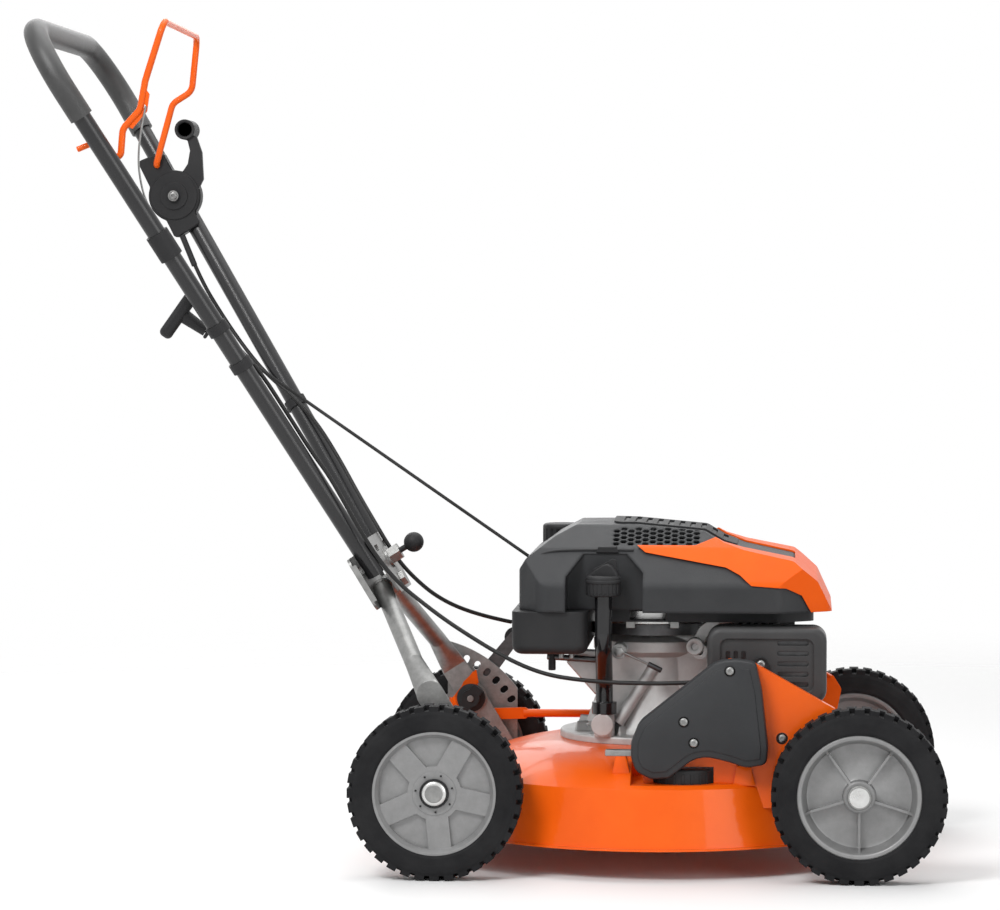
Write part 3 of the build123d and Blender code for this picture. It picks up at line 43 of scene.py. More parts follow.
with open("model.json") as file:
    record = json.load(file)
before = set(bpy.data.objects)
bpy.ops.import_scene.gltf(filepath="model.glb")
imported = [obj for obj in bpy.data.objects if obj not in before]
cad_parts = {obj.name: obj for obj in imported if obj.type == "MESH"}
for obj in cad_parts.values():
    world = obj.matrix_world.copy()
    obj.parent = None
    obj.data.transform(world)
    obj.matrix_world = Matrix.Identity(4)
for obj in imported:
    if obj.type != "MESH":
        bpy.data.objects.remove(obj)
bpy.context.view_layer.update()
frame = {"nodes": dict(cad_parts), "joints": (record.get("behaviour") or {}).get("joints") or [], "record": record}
NODES = frame["nodes"]


# ---- Places from the frame --------------------------------------------------------
def joint_place(name):
    joint = next(joint for joint in frame["joints"] if joint["name"] == name)
    return Vector(joint["pos_m"]) * 1000


def node_box(node):
    low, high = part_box(node)
    return low * 1000, high * 1000


SIDES = (("left", 1), ("right", -1))
FRONT_AXLE = joint_place("front_left_spin")
REAR_AXLE = joint_place("rear_left_spin")
LOCK_BOLT = joint_place("lock_left_turn")
LEVER_PIVOT = joint_place("control_turn")
COVER_FACE = node_box("drive_cover")[0].y
BRACKET_FACE = node_box("drive_bracket")[0].y
GUARD_FACE = node_box("muffler_guard")[0].y
HOUSING_FACE = node_box("control_housing")[0].y
LOCK_FACE = node_box("lock_knob_left")[1].y


# ---- Materials --------------------------------------------------------------------
class Surface:
    """A node material on the object's own coordinates, built up one feature at a time.

    Noise scales are in features per metre, and bump depths and edge radii are in metres.
    """

    def __init__(self, name, metallic=0.0, specular=0.5, coat=0.0, coat_rough=0.2):
        self.material = bpy.data.materials.new(name)
        self.material.use_nodes = True
        self.tree = self.material.node_tree
        self.shader = self.tree.nodes["Principled BSDF"]
        self.shader.inputs["Metallic"].default_value = metallic
        self.shader.inputs["Specular IOR Level"].default_value = specular
        self.shader.inputs["Coat Weight"].default_value = coat
        self.shader.inputs["Coat Roughness"].default_value = coat_rough
        self.place = self.tree.nodes.new("ShaderNodeTexCoord").outputs["Object"]
        self.normal = None

    def node(self, kind, **inputs):
        made = self.tree.nodes.new("ShaderNode" + kind)
        for key, value in inputs.items():
            socket = made.inputs[key.replace("_", " ")]
            if isinstance(value, bpy.types.NodeSocket):
                self.tree.links.new(value, socket)
            else:
                socket.default_value = value
        return made

    def noise(self, scale, detail, stretch=None, rough=0.55):
        place = self.place
        if stretch:
            place = self.node("Mapping", Vector=place, Scale=stretch).outputs[0]
        made = self.node("TexNoise", Vector=place, Scale=scale, Detail=detail, Roughness=rough)
        return made.outputs["Fac"]

    def cells(self, scale):
        return self.node("TexVoronoi", Vector=self.place, Scale=scale).outputs["Distance"]

    def colour(self, source, low, high, span=(0.3, 0.7)):
        """Base colour that runs from low to high as the source runs over the span."""
        made = self.node("ValToRGB", Fac=source)
        for element, place, colour in zip(made.color_ramp.elements, span, (low, high)):
            element.position = place
            element.color = (*colour, 1)
        self.tree.links.new(made.outputs["Color"], self.shader.inputs["Base Color"])

    def rough(self, source, low, high):
        made = self.node("MapRange", Value=source, To_Min=low, To_Max=high)
        self.tree.links.new(made.outputs[0], self.shader.inputs["Roughness"])

    def soft_edges(self, radius):
        """Rounds the shading of sharp edges by this radius."""
        made = self.node("Bevel", Radius=radius)
        made.samples = 4
        self.bend_light(made)

    def bump(self, source, depth):
        made = self.node("Bump", Height=source, Distance=depth, Strength=1.0)
        if self.normal:
            self.tree.links.new(self.normal, made.inputs["Normal"])
        self.bend_light(made)

    def bend_light(self, made):
        """Gives the shader the normal that a node makes."""
        self.normal = made.outputs[0]
        self.tree.links.new(self.normal, self.shader.inputs["Normal"])


def powder_coat(name, low, high, specular=0.15, coat=0.24):
    skin = Surface(name, specular=specular, coat=coat, coat_rough=0.07)
    skin.colour(skin.noise(9, 5), low, high)
    skin.rough(skin.noise(60, 3), 0.30, 0.42)
    skin.soft_edges(0.0012)
    skin.bump(skin.noise(1100, 2), 0.00022)
    return skin.material


def moulded(name, low, high, rough=(0.45, 0.6), grain=1400, depth=0.0002, edge=0.001, specular=0.25):
    """Plastic, sheath or black paint with a fine grain of its own scale and depth."""
    skin = Surface(name, specular=specular)
    skin.colour(skin.noise(14, 6), low, high, (0.3, 0.72))
    skin.rough(skin.noise(90, 4), *rough)
    skin.soft_edges(edge)
    skin.bump(skin.noise(grain, 2), depth)
    return skin.material


def brushed_metal(name, low, high, metallic=0.9, rough=(0.32, 0.5)):
    skin = Surface(name, metallic=metallic)
    skin.colour(skin.noise(70, 8, rough=0.7), low, high)
    skin.rough(skin.noise(35, 6), *rough)
    skin.soft_edges(0.0006)
    skin.bump(skin.noise(700, 3, stretch=(1, 1, 0.15)), 0.00008)
    return skin.material


def cast_metal(name):
    skin = Surface(name, metallic=0.7)
    skin.colour(skin.noise(18, 8, rough=0.65), (0.42, 0.42, 0.42), (0.66, 0.66, 0.65), (0.25, 0.75))
    skin.rough(skin.noise(45, 5), 0.42, 0.62)
    skin.soft_edges(0.0016)
    skin.bump(skin.noise(1100, 5, rough=0.8), 0.00045)
    return skin.material


def tyre_rubber(name):
    skin = Surface(name, specular=0.14)
    skin.colour(skin.noise(30, 7), (0.008, 0.008, 0.009), (0.019, 0.019, 0.020), (0.3, 0.75))
    skin.rough(skin.noise(80, 4), 0.55, 0.75)
    skin.soft_edges(0.0012)
    skin.bump(skin.noise(1500, 3), 0.0003)
    return skin.material


def foam(name):
    skin = Surface(name)
    skin.colour(skin.noise(40, 6), (0.032, 0.032, 0.032), (0.050, 0.050, 0.050), (0.3, 0.75))
    skin.rough(skin.noise(120, 3), 0.36, 0.46)
    skin.bump(skin.cells(1700), 0.00012)
    return skin.material


# One material for each slot of the record.
MATERIALS = {
    "orange_paint": powder_coat("orange_paint", (0.80, 0.098, 0.002), (0.88, 0.125, 0.004)),
    "accent_plastic": powder_coat("accent_plastic", (0.80, 0.095, 0.003), (0.88, 0.120, 0.005),
                                  specular=0.12, coat=0.0),
    "tyre_rubber": tyre_rubber("tyre_rubber"),
    "rim_plastic": brushed_metal("rim_plastic", (0.215, 0.215, 0.215), (0.265, 0.265, 0.265),
                                 metallic=0.4, rough=(0.4, 0.52)),
    "zinc_steel": brushed_metal("zinc_steel", (0.20, 0.20, 0.197), (0.33, 0.33, 0.323)),
    "dark_steel": brushed_metal("dark_steel", (0.06, 0.06, 0.062), (0.12, 0.12, 0.122)),
    "black_plastic": moulded("black_plastic", (0.012, 0.012, 0.013), (0.022, 0.022, 0.023)),
    "grey_plastic": moulded("grey_plastic", (0.023, 0.024, 0.026), (0.033, 0.034, 0.036),
                            rough=(0.42, 0.55)),
    "cast_aluminium": cast_metal("cast_aluminium"),
    "black_paint": moulded("black_paint", (0.007, 0.007, 0.008), (0.013, 0.013, 0.014),
                           rough=(0.24, 0.34), grain=900, depth=0.00004, specular=0.5),
    "grip_foam": foam("grip_foam"),
    "cable_sheath": moulded("cable_sheath", (0.010, 0.010, 0.010), (0.018, 0.018, 0.018),
                            rough=(0.35, 0.5)),
    "rope_cord": moulded("rope_cord", (0.015, 0.015, 0.015), (0.04, 0.04, 0.04),
                         rough=(0.6, 0.8), grain=2600, depth=0.0004),
}
# Nodes whose finish differs from the rest of their slot.
OWN_SKINS = {
    "engine_shroud": moulded("cowl_skin", (0.024, 0.025, 0.027), (0.036, 0.037, 0.039),
                             rough=(0.40, 0.52), grain=1700, depth=0.0003, edge=0.005),
    "muffler_guard": moulded("guard_skin", (0.040, 0.040, 0.041), (0.060, 0.060, 0.061),
                             rough=(0.34, 0.46), grain=1300, edge=0.002),
    "filler_tube": moulded("gloss_skin", (0.007, 0.007, 0.008), (0.012, 0.012, 0.013),
                           rough=(0.12, 0.2), grain=500, depth=0.00003, edge=0.0015, specular=0.5),
}
BRIGHT_SKIN = brushed_metal("cap_skin", (0.52, 0.52, 0.51), (0.68, 0.68, 0.67), metallic=0.85,
                            rough=(0.22, 0.34))

slot_of = {part["node"]: part["material_slot"] for part in frame["record"]["subparts"]}
for name, node in NODES.items():
    node.data.materials.clear()
    node.data.materials.append(OWN_SKINS.get(name) or MATERIALS[slot_of[name]])


# ---- Mesh helpers -----------------------------------------------------------------
def mm(*place):
    return Vector(place) / 1000


def metres(points):
    return [mm(*point) for point in points]


def skin_rings(made, rings):
    """Joins each ring of vertices to the next one, and closes the first and the last.

    A ring of one vertex is a pole.
    """
    for first, second in zip(rings, rings[1:]):
        for k in range(max(len(first), len(second))):
            corners = (first[k % len(first)], first[(k + 1) % len(first)],
                       second[(k + 1) % len(second)], second[k % len(second)])
            unique = list(dict.fromkeys(corners))
            if len(unique) > 2:
                made.faces.new(unique)
    for ring in (rings[0], rings[-1]):
        if len(ring) > 2:
            made.faces.new(ring)


def mesh_object(name, made):
    """Puts a bmesh into the scene as an object."""
    mesh = bpy.data.meshes.new(name)
    made.to_mesh(mesh)
    made.free()
    obj = bpy.data.objects.new(name, mesh)
    bpy.context.collection.objects.link(obj)
    return obj


def finished(name, made, slot, smooth=40, skin=None):
    """Object in the finish of a slot, or a skin of its own, with edges sharp above an angle."""
    bmesh.ops.recalc_face_normals(made, faces=made.faces)
    obj = mesh_object(name, made)
    obj.data.shade_smooth()
    obj.data.set_sharp_from_angle(angle=radians(smooth))
    obj.data.materials.append(skin or MATERIALS[slot])
    return obj


def add_piece(name, made, slot, body, replaced=(), **finish):
    """Turns a bmesh into a piece of the mower that rides on a body."""
    obj = finished(name, made, slot, **finish)
    if replaced:
        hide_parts(*replaced)
    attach(obj, body)


def axis_frame(place, direction):
    """Matrix that stands local z along a direction at a place."""
    turn = Vector(direction).normalized().to_track_quat("Z", "Y").to_matrix().to_4x4()
    return Matrix.Translation(mm(*place)) @ turn


RIB_DEPTH = 0.9                 # of the grip ribs round a cap


def turn_into(made, profile, stand, sides=48):
    """Adds a closed turned body with a profile of (radius, along) or (radius, along, kind).

    A ring of kind hex is a hexagon, and one of kind rib has every other pair of corners set in.
    """
    rings = []
    for radius, along, *kind in profile:
        if radius == 0:
            rings.append([made.verts.new(stand @ mm(0, 0, along))])
            continue
        ring = []
        for k in range(sides):
            angle = 2 * pi * k / sides
            reach = radius
            if kind == ["hex"]:
                reach = radius * cos(pi / 6) / cos(angle % (pi / 3) - pi / 6)
            elif kind == ["rib"] and k // 2 % 2:
                reach = radius - RIB_DEPTH
            ring.append(made.verts.new(stand @ mm(reach * cos(angle), reach * sin(angle), along)))
        rings.append(ring)
    skin_rings(made, rings)


def turned(name, profile, place, direction, slot, body, sides=48, **more):
    made = bmesh.new()
    turn_into(made, profile, axis_frame(place, direction), sides)
    add_piece(name, made, slot, body, **more)


def straight_rod(name, start, end, radius, slot, body="chassis"):
    """Round rod between two places, with its ends chamfered."""
    run = Vector(end) - Vector(start)
    soft = min(radius * 0.25, 0.8)
    profile = [(0, 0), (radius - soft, 0), (radius, soft), (radius, run.length - soft),
               (radius - soft, run.length), (0, run.length)]
    turned(name, profile, start, run, slot, body, sides=20)


SMALLEST_CORNER = 0.4
CORNER_STEPS = 8


def rounded_outline(corners, inset):
    """Closed polygon with rounded corners, (x, z, radius) each, set in by a distance.

    Corners run clockwise as the photograph shows them.
    """
    count = len(corners)
    places = [Vector(corner[:2]) for corner in corners]
    shifted = []
    for k in range(count):
        before = (places[k] - places[k - 1]).normalized()
        after = (places[(k + 1) % count] - places[k]).normalized()
        inward = Vector((before.y, -before.x)) + Vector((after.y, -after.x))
        shifted.append(places[k] + inward * inset / (1 + before.dot(after)))
    line = []
    for k in range(count):
        run_in, run_out = shifted[k] - shifted[k - 1], shifted[(k + 1) % count] - shifted[k]
        before, after = run_in.normalized(), run_out.normalized()
        bend = before.x * after.y - before.y * after.x
        radius = max(corners[k][2] - inset if bend < 0 else corners[k][2] + inset, SMALLEST_CORNER)
        back = min(radius * (1 - before.dot(after)) / max(abs(bend), 1e-6),
                   run_in.length * 0.49, run_out.length * 0.49)
        start, end = shifted[k] - before * back, shifted[k] + after * back
        for step in range(CORNER_STEPS + 1):
            t = step / CORNER_STEPS
            line.append(start * (1 - t) ** 2 + shifted[k] * 2 * t * (1 - t) + end * t * t)
    return line


def slab(name, corners, levels, slot, body="chassis", **more):
    """Plate with a rounded outline in X and Z, as (y, inset) levels from its back to its face."""
    made = bmesh.new()
    skin_rings(made, [[made.verts.new(mm(p.x, y, p.y)) for p in rounded_outline(corners, inset)]
                      for y, inset in levels])
    add_piece(name, made, slot, body, **more)


def plate(name, corners, back, face, chamfer, slot):
    """Flat piece of the chassis that faces the near side. Its chamfer is (depth, inset)."""
    depth, inset = chamfer
    slab(name, corners, [(back, 0), (face + depth, 0), (face, inset)], slot)


def arc_band(name, radius, thickness, heights, bearings, slot, **more):
    """Strip of the chassis that bends about the crankshaft between two bearings in degrees."""
    steps = 24
    low, high = heights
    start, end = bearings
    section = ((radius, low), (radius, high), (radius + thickness, high), (radius + thickness, low))
    made = bmesh.new()
    rings = []
    for k in range(steps + 1):
        angle = radians(start + (end - start) * k / steps)
        rings.append([made.verts.new(mm(reach * cos(angle), reach * sin(angle), z))
                      for reach, z in section])
    skin_rings(made, rings)
    add_piece(name, made, slot, "chassis", **more)


def smooth_line(points):
    """Line along the NURBS curve that has these control points, all in metres."""
    curve = bpy.data.curves.new("route", "CURVE")
    curve.dimensions = "3D"
    spline = curve.splines.new("NURBS")
    spline.points.add(len(points) - 1)
    for made, place in zip(spline.points, points):
        made.co = (*place, 1)
    spline.order_u = 3
    spline.use_endpoint_u = True
    spline.resolution_u = 14
    holder = bpy.data.objects.new("route", curve)
    mesh = bpy.data.meshes.new_from_object(holder)
    line = [vertex.co.copy() for vertex in mesh.vertices]
    bpy.data.meshes.remove(mesh)
    bpy.data.objects.remove(holder)
    bpy.data.curves.remove(curve)
    return line


def tube(line, radius, sides=14):
    """Closed round tube along a line."""
    made = bmesh.new()
    rings = []
    side = None
    for index, place in enumerate(line):
        ahead = line[min(index + 1, len(line) - 1)] - line[max(index - 1, 0)]
        ahead.normalize()
        if side is None:
            side = ahead.orthogonal()
        side = (side - ahead * side.dot(ahead)).normalized()
        across = ahead.cross(side)
        angles = [2 * pi * k / sides for k in range(sides)]
        rings.append([made.verts.new(place + (side * cos(angle) + across * sin(angle)) * radius / 1000)
                      for angle in angles])
    skin_rings(made, rings)
    return made


# ---- Rounded edges of the solids --------------------------------------------------
def soften(node, width):
    """Rounds the edges of a CAD node in the picture, by modifiers that leave its mesh as it is."""
    obj = NODES[node]
    weld = obj.modifiers.new("weld", "WELD")
    weld.merge_threshold = 0.00002
    flat = obj.modifiers.new("flat", "DECIMATE")
    flat.decimate_type = "DISSOLVE"
    flat.angle_limit = radians(1)
    bevel = obj.modifiers.new("bevel", "BEVEL")
    bevel.width = width / 1000
    bevel.segments = 3
    bevel.limit_method = "ANGLE"
    bevel.angle_limit = radians(28)
    even = obj.modifiers.new("even", "WEIGHTED_NORMAL")
    even.keep_sharp = False


EDGE_WIDTHS = {"engine_shroud": 6, "shroud_accent": 1.0, "fuel_tank": 2.5, "control_housing": 1.5,
               "starter_grip": 1.0, "muffler_guard": 1.5, "crankcase": 1.2}
for node, width in EDGE_WIDTHS.items():
    soften(node, width)


# ---- Screws and bolts -------------------------------------------------------------
BUTTON_SCREW = [(0, 1.2), (2.1, 1.2, "hex"), (2.1, 3.1, "hex"), (3.1, 3.2), (4.4, 2.6), (5.2, 1.4),
                (5.4, 0.6), (6.4, 0.6), (6.6, 0.3), (6.6, 0), (0, 0)]
COVER_SCREW = [(0, 0.9), (1.7, 0.9, "hex"), (1.7, 2.0, "hex"), (2.6, 2.1), (3.9, 1.7), (4.7, 0.9),
               (4.9, 0.3), (4.9, 0), (0, 0)]
HEX_BOLT = [(0, 5.2), (4.6, 5.2), (6.2, 4.6, "hex"), (6.2, 1.4, "hex"), (8.2, 1.3), (8.4, 0.9),
            (8.4, 0), (0, 0)]
COVER_SCREW_SEAT = [(0, -4), (6.6, -4), (6.8, 0.2), (6.2, 0.5), (5.8, 0.2), (0, 0.2)]
GUARD_SCREW_SEAT = [(0, -2), (8.4, -2), (8.4, 0.4), (7.8, 0.7), (7.0, 0.4), (0, 0.4)]
NEAR_SIDE = (0, -1, 0)


def fastener(name, profile, place, direction=NEAR_SIDE, slot="zinc_steel", body="chassis", **more):
    """Screw, bolt or screw seat that faces the near side, unless a direction is given."""
    turned(name, profile, place, direction, slot, body, sides=36, **more)


# ---- Drive cover and its screws ---------------------------------------------------
COVER = [(-18.5, 158, 24), (-9, 180.5, 26), (79, 251, 36), (102, 252.5, 26), (123.5, 249.5, 9),
         (131, 218, 80), (138.2, 152, 30), (136.8, 132.5, 10), (113, 128.5, 26), (92, 135.5, 40),
         (68, 141, 40), (52, 137.5, 30), (34, 123, 12), (25, 116, 12), (5, 114.5, 16), (-13, 123, 18),
         (-18.5, 139, 16)]
# (depth behind the face, inset): the wall, its rounded shoulder, and the step round the face.
COVER_LEVELS = [(26.7, 0), (7.4, 0), (4.6, 0.5), (2.8, 1.6), (2, 3.2), (1.8, 7.8), (1.5, 8.3),
                (0.4, 8.6), (0, 9.4)]
SEAT_DEPTH = 0.2
# (x, face that it goes into, z) of each screw.
COVER_SCREWS = [(94.4, COVER_FACE, 240), (42, COVER_FACE, 181.4), (53.5, COVER_FACE, 157.4),
                (153.9, BRACKET_FACE, 160.5)]

slab("drive_cover_skin", COVER, [(COVER_FACE + depth, inset) for depth, inset in COVER_LEVELS],
     "grey_plastic", smooth=30, replaced=("drive_cover",))
for index, (x, face, z) in enumerate(COVER_SCREWS):
    seat = (x, face + SEAT_DEPTH, z)
    fastener(f"screw_seat_{index}", COVER_SCREW_SEAT, seat, slot="black_plastic")
    fastener(f"cover_screw_{index}", COVER_SCREW, seat, replaced=("chassis_screws",))


# ---- Bolts and screws of the engine -----------------------------------------------
FLANGE_BOLTS = 4
FLANGE_BOLT_CIRCLE = 98
FLANGE_BOLT_SEAT = 160.2
CRANKCASE_BOLT_SEAT = (-38, -91.8, 249)
GUARD_SCREW_PLACE = (129.3, 242)
GUARD_SEAT_DEPTH = 0.1
GUARD_SCREW_RISE = 0.2

for index in range(FLANGE_BOLTS):
    angle = pi / 4 + 2 * pi * index / FLANGE_BOLTS
    fastener(f"flange_bolt_{index}", HEX_BOLT,
             (FLANGE_BOLT_CIRCLE * cos(angle), FLANGE_BOLT_CIRCLE * sin(angle), FLANGE_BOLT_SEAT),
             direction=(0, 0, 1))
fastener("crankcase_bolt", HEX_BOLT, CRANKCASE_BOLT_SEAT)
guard_x, guard_z = GUARD_SCREW_PLACE
fastener("guard_screw_seat", GUARD_SCREW_SEAT, (guard_x, GUARD_FACE + GUARD_SEAT_DEPTH, guard_z),
         slot="black_plastic")
fastener("guard_screw", COVER_SCREW, (guard_x, GUARD_FACE - GUARD_SCREW_RISE, guard_z))


# ---- Trim of the handle -----------------------------------------------------------
LEVER_LOOP = (-590, 872)
LEVER_RING_SEAT = 167.6
LEVER_PLUG_SEAT = 172.5
LEVER_RING = [(0, 0), (8.2, 0), (8.8, 0.6), (9.2, 3.0), (10.2, 3.5), (11.8, 3.5), (12.6, 2.8), (12.6, 0)]
LEVER_PLUG = [(0, 0), (8.6, 0), (8.6, 1.4), (7.4, 2), (0, 1.2)]

loop_x, loop_z = LEVER_LOOP
fastener("control_screw", BUTTON_SCREW, (LEVER_PIVOT.x, HOUSING_FACE, LEVER_PIVOT.z), body="upper_handle")
turned("lever_ring", LEVER_RING, (loop_x, LEVER_RING_SEAT, loop_z), NEAR_SIDE, "black_plastic",
       "control_lever_body")
turned("lever_plug", LEVER_PLUG, (loop_x, LEVER_PLUG_SEAT, loop_z), NEAR_SIDE, "grey_plastic",
       "control_lever_body")
straight_rod("control_ferrule", (-594, 168, 741), (-577.5, 162.2, 703), 3.7, "black_plastic",
             "upper_handle")
straight_rod("bail_stop", (-661.2, -190, 836), (-633, -186, 848), 3.4, "orange_paint", "upper_handle")


# ---- Engine under the cowl --------------------------------------------------------
FAN_TABS = (-25, 27)
FAN_TAB_HALF = 5.5
FAN_TAB_LOW, FAN_TAB_HIGH = 276, 287
MUFFLER_BRACKET = [(48, 262, 3), (56, 278, 5), (74, 291, 4), (108, 292, 2), (108, 284, 2), (80, 282, 6),
                   (66, 268, 5), (62, 258, 3)]
LUG_PLACE = (51.3, -94, 256)
LUG_RING = [(4.2, 0), (4.2, 3), (5, 3.6), (9.4, 3.6), (10.2, 2.8), (10.2, -14), (4.2, -14)]
CARBURETTOR_ARM = [(-100, 236, 4), (-96, 252, 4), (-60, 250, 4), (-52, 205, 8), (-64, 196, 6)]
TANK_STUDS = (-92, -104)
HEAT_BAFFLE = [(62, 262, 1), (62, 299, 1), (168, 299, 1), (168, 262, 1)]

arc_band("fan_band", radius=77, thickness=3, heights=(267, 280), bearings=(-170, -8), slot="dark_steel")
arc_band("fan_plate", radius=78, thickness=3.5, heights=(281, 296), bearings=(-110, -71),
         slot="zinc_steel", skin=BRIGHT_SKIN)
for index, x in enumerate(FAN_TABS):
    left, right = x - FAN_TAB_HALF, x + FAN_TAB_HALF
    plate(f"fan_tab_{index}", [(left, FAN_TAB_LOW, 1), (left, FAN_TAB_HIGH, 1), (right, FAN_TAB_HIGH, 1),
                               (right, FAN_TAB_LOW, 1)],
          back=-72, face=-83.6, chamfer=(0.6, 0.6), slot="zinc_steel")
plate("muffler_bracket", MUFFLER_BRACKET, back=-74, face=-82, chamfer=(1, 0.8), slot="cast_aluminium")
turned("lug_ring", LUG_RING, LUG_PLACE, NEAR_SIDE, "cast_aluminium", "chassis")
straight_rod("governor_link", (-36, -95, 250), (2, -92, 232), 1.5, "zinc_steel")
straight_rod("governor_spring", (-4, -92.3, 235), (12, -91, 227), 3.2, "dark_steel")
straight_rod("throttle_rod", (-122, -104, 244), (-62, -100, 240), 3.6, "dark_steel")
straight_rod("throttle_post", (-116, -104, 228), (-116, -104, 262), 4.4, "black_plastic")
plate("carburettor_arm", CARBURETTOR_ARM, back=-78, face=-92, chamfer=(2, 1.6), slot="cast_aluminium")
for index, x in enumerate(TANK_STUDS):
    straight_rod(f"tank_stud_{index}", (x, -120, 243), (x, -120, 258), 3, "zinc_steel")
slab("heat_baffle", HEAT_BAFFLE, [(-38, 0), (-40, 0)], "dark_steel")


# ---- Trim of the cowl, and painted shade along its shoulders ----------------------
# Dark strip along each shoulder, painted shade of the crease between the cowl's upper and lower faces, as (x,
# distance from the middle, z).
SHOULDER = [(-141, 118, 350), (-134, 119, 362), (-118, 116, 368.5), (-90, 114.5, 370), (-40, 114.5, 370),
            (-20, 114.5, 370)]
SHADE_STRIP_RADIUS = 1.8
COWL_LATCH = [(-64, 367, 1), (-61, 374.5, 1.5), (-40, 374.5, 1.5), (-37, 367, 1)]

# Each strip is black plastic, darker than the cowl: a painted shade line where the crease is.
for side in (-1, 1):
    line = smooth_line(metres((x, side * y, z) for x, y, z in SHOULDER))
    add_piece(f"shoulder_{side}", tube(line, SHADE_STRIP_RADIUS, sides=10), "black_plastic", "chassis")
plate("cowl_latch", COWL_LATCH, back=-106, face=-120, chamfer=(1, 0.8), slot="black_plastic")


# ---- Strap and gussets on the deck ------------------------------------------------
DECK_TRIM_FACE = -203.5
DECK_STRAP = [(-49, 139, 1.5), (-49, 145.5, 1.5), (-16, 145.5, 1.5), (-16, 139, 1.5)]
REAR_GUSSET = [(-41, 118, 2), (-37, 139, 2), (-25, 139, 2), (-20, 118, 2)]
FRONT_GUSSET = [(98, 106, 2), (102, 129, 2), (118, 129, 2), (124, 106, 2)]

plate("deck_strap", DECK_STRAP, back=-188, face=DECK_TRIM_FACE, chamfer=(0.5, 0.5), slot="zinc_steel")
plate("deck_gusset_rear", REAR_GUSSET, back=-186, face=DECK_TRIM_FACE, chamfer=(0.5, 0.6),
      slot="orange_paint")
plate("deck_gusset_front", FRONT_GUSSET, back=-184, face=DECK_TRIM_FACE, chamfer=(0.5, 0.6),
      slot="orange_paint")


# ---- Wheels -----------------------------------------------------------------------
# Distances out along an axle are from the middle of the mower.
FRONT_CAP_SEAT = 251.4
REAR_CAP_SEAT = 252.8
PIP_SEAT = 252.6
PIP_CIRCLE = 21.5
PIP_COUNT = 7
PIP_START = 0.3                 # bearing of the first pip in radians
FRONT_RIBS = 5
RIB_HALF = 1.5
RIM_PROFILE = [(9.6, 16), (16.6, 16), (18.2, 14.6), (19.2, 5.6), (21, 4.4), (40, 1.6), (57, -0.6),
               (59.6, 0.4), (61, 3.2), (64.4, 18.2), (65.4, 20), (66.6, 20.7), (69.6, 20.7), (71, 19.6),
               (71, -19.6), (69.6, -20.7), (66.6, -20.7), (65.4, -20), (61.5, -6.5), (59.6, -4.6),
               (57, -4.4), (40, -2.4), (20, 0.4), (18.4, -1.5), (17.4, -22), (16.4, -23), (9.6, -23),
               (9.6, 16)]
# Side view of a rib as (distance from the axle, place along it): its crest, then its foot.
RIB = [(17.5, 13.6), (24, 11.5), (58, 8.5), (61.6, 12.5), (64.2, 17.6), (65.4, 17.6), (66, -2), (57, -3),
       (17.5, 2)]
FRONT_CAP = [(0, 6.0), (11.0, 6.0), (12.4, 5.6), (13.3, 4.4), (13.5, 0), (0, 0)]
REAR_CAP_RING = [(15.2, 0), (15.2, 2.4), (15.8, 3.0), (16.6, 2.6), (17, 0)]
REAR_CAP_DOME = [(8.4, 0), (8.4, 2.6), (9.2, 3.6), (10.6, 3.9), (12.6, 3.3), (14.4, 2.0), (15.2, 0.6),
                 (15.2, 0)]
PIP = [(0, 0.7), (1.0, 0.6), (1.2, 0), (1.2, -1)]


def front_wheel(label, side):
    """Rim with thin ribs, and the flat cap of its hub."""
    body = f"front_wheel_{label}"
    axle = (0, side, 0)
    stand = axis_frame((FRONT_AXLE.x, side * FRONT_AXLE.y, FRONT_AXLE.z), axle)
    made = bmesh.new()
    turn_into(made, RIM_PROFILE, stand, sides=72)
    for k in range(FRONT_RIBS):
        turn = stand @ Matrix.Rotation(2 * pi * k / FRONT_RIBS - pi / 2, 4, "Z")
        skin_rings(made, [[made.verts.new(turn @ mm(reach, half, height)) for reach, height in RIB]
                          for half in (-RIB_HALF, RIB_HALF)])
    add_piece(f"front_rim_skin_{label}", made, "rim_plastic", body, smooth=32,
              replaced=(f"front_rim_{label}",))
    turned(f"front_cap_{label}", FRONT_CAP, (FRONT_AXLE.x, side * FRONT_CAP_SEAT, FRONT_AXLE.z), axle,
           "zinc_steel", body, skin=BRIGHT_SKIN)


def rear_wheel(label, side):
    """Ring and dome of the hub cap, and the pips round them."""
    body = f"rear_wheel_{label}"
    axle = (0, side, 0)
    seat = (REAR_AXLE.x, side * REAR_CAP_SEAT, REAR_AXLE.z)
    turned(f"rear_cap_ring_{label}", REAR_CAP_RING, seat, axle, "black_plastic", body)
    turned(f"rear_cap_dome_{label}", REAR_CAP_DOME, seat, axle, "zinc_steel", body, skin=BRIGHT_SKIN)
    for k in range(PIP_COUNT):
        angle = 2 * pi * k / PIP_COUNT + PIP_START
        place = (REAR_AXLE.x + PIP_CIRCLE * cos(angle), side * PIP_SEAT,
                 REAR_AXLE.z + PIP_CIRCLE * sin(angle))
        turned(f"rear_rim_pip_{label}_{k}", PIP, place, axle, "black_plastic", body, sides=12)


for label, side in SIDES:
    front_wheel(label, side)
    rear_wheel(label, side)


# ---- Handle locks -----------------------------------------------------------------
HOOK_GAP = 0.15                 # between the disc and the hook
HOOK_THICKNESS = 0.55
LOCK_DISC = [(0, 0), (17, 0), (17.6, 0.5), (17.6, 1.2), (17, 1.7), (0, 1.7)]
LOCK_HOOK = [(-260.4, 168.3, 1.5), (-251, 167, 3), (-242, 187.4, 4), (-226, 203, 1), (-223, 186, 1.5),
             (-229, 181, 2), (-243.7, 166.3, 2), (-247, 155, 1.5), (-253.3, 156, 1.5)]

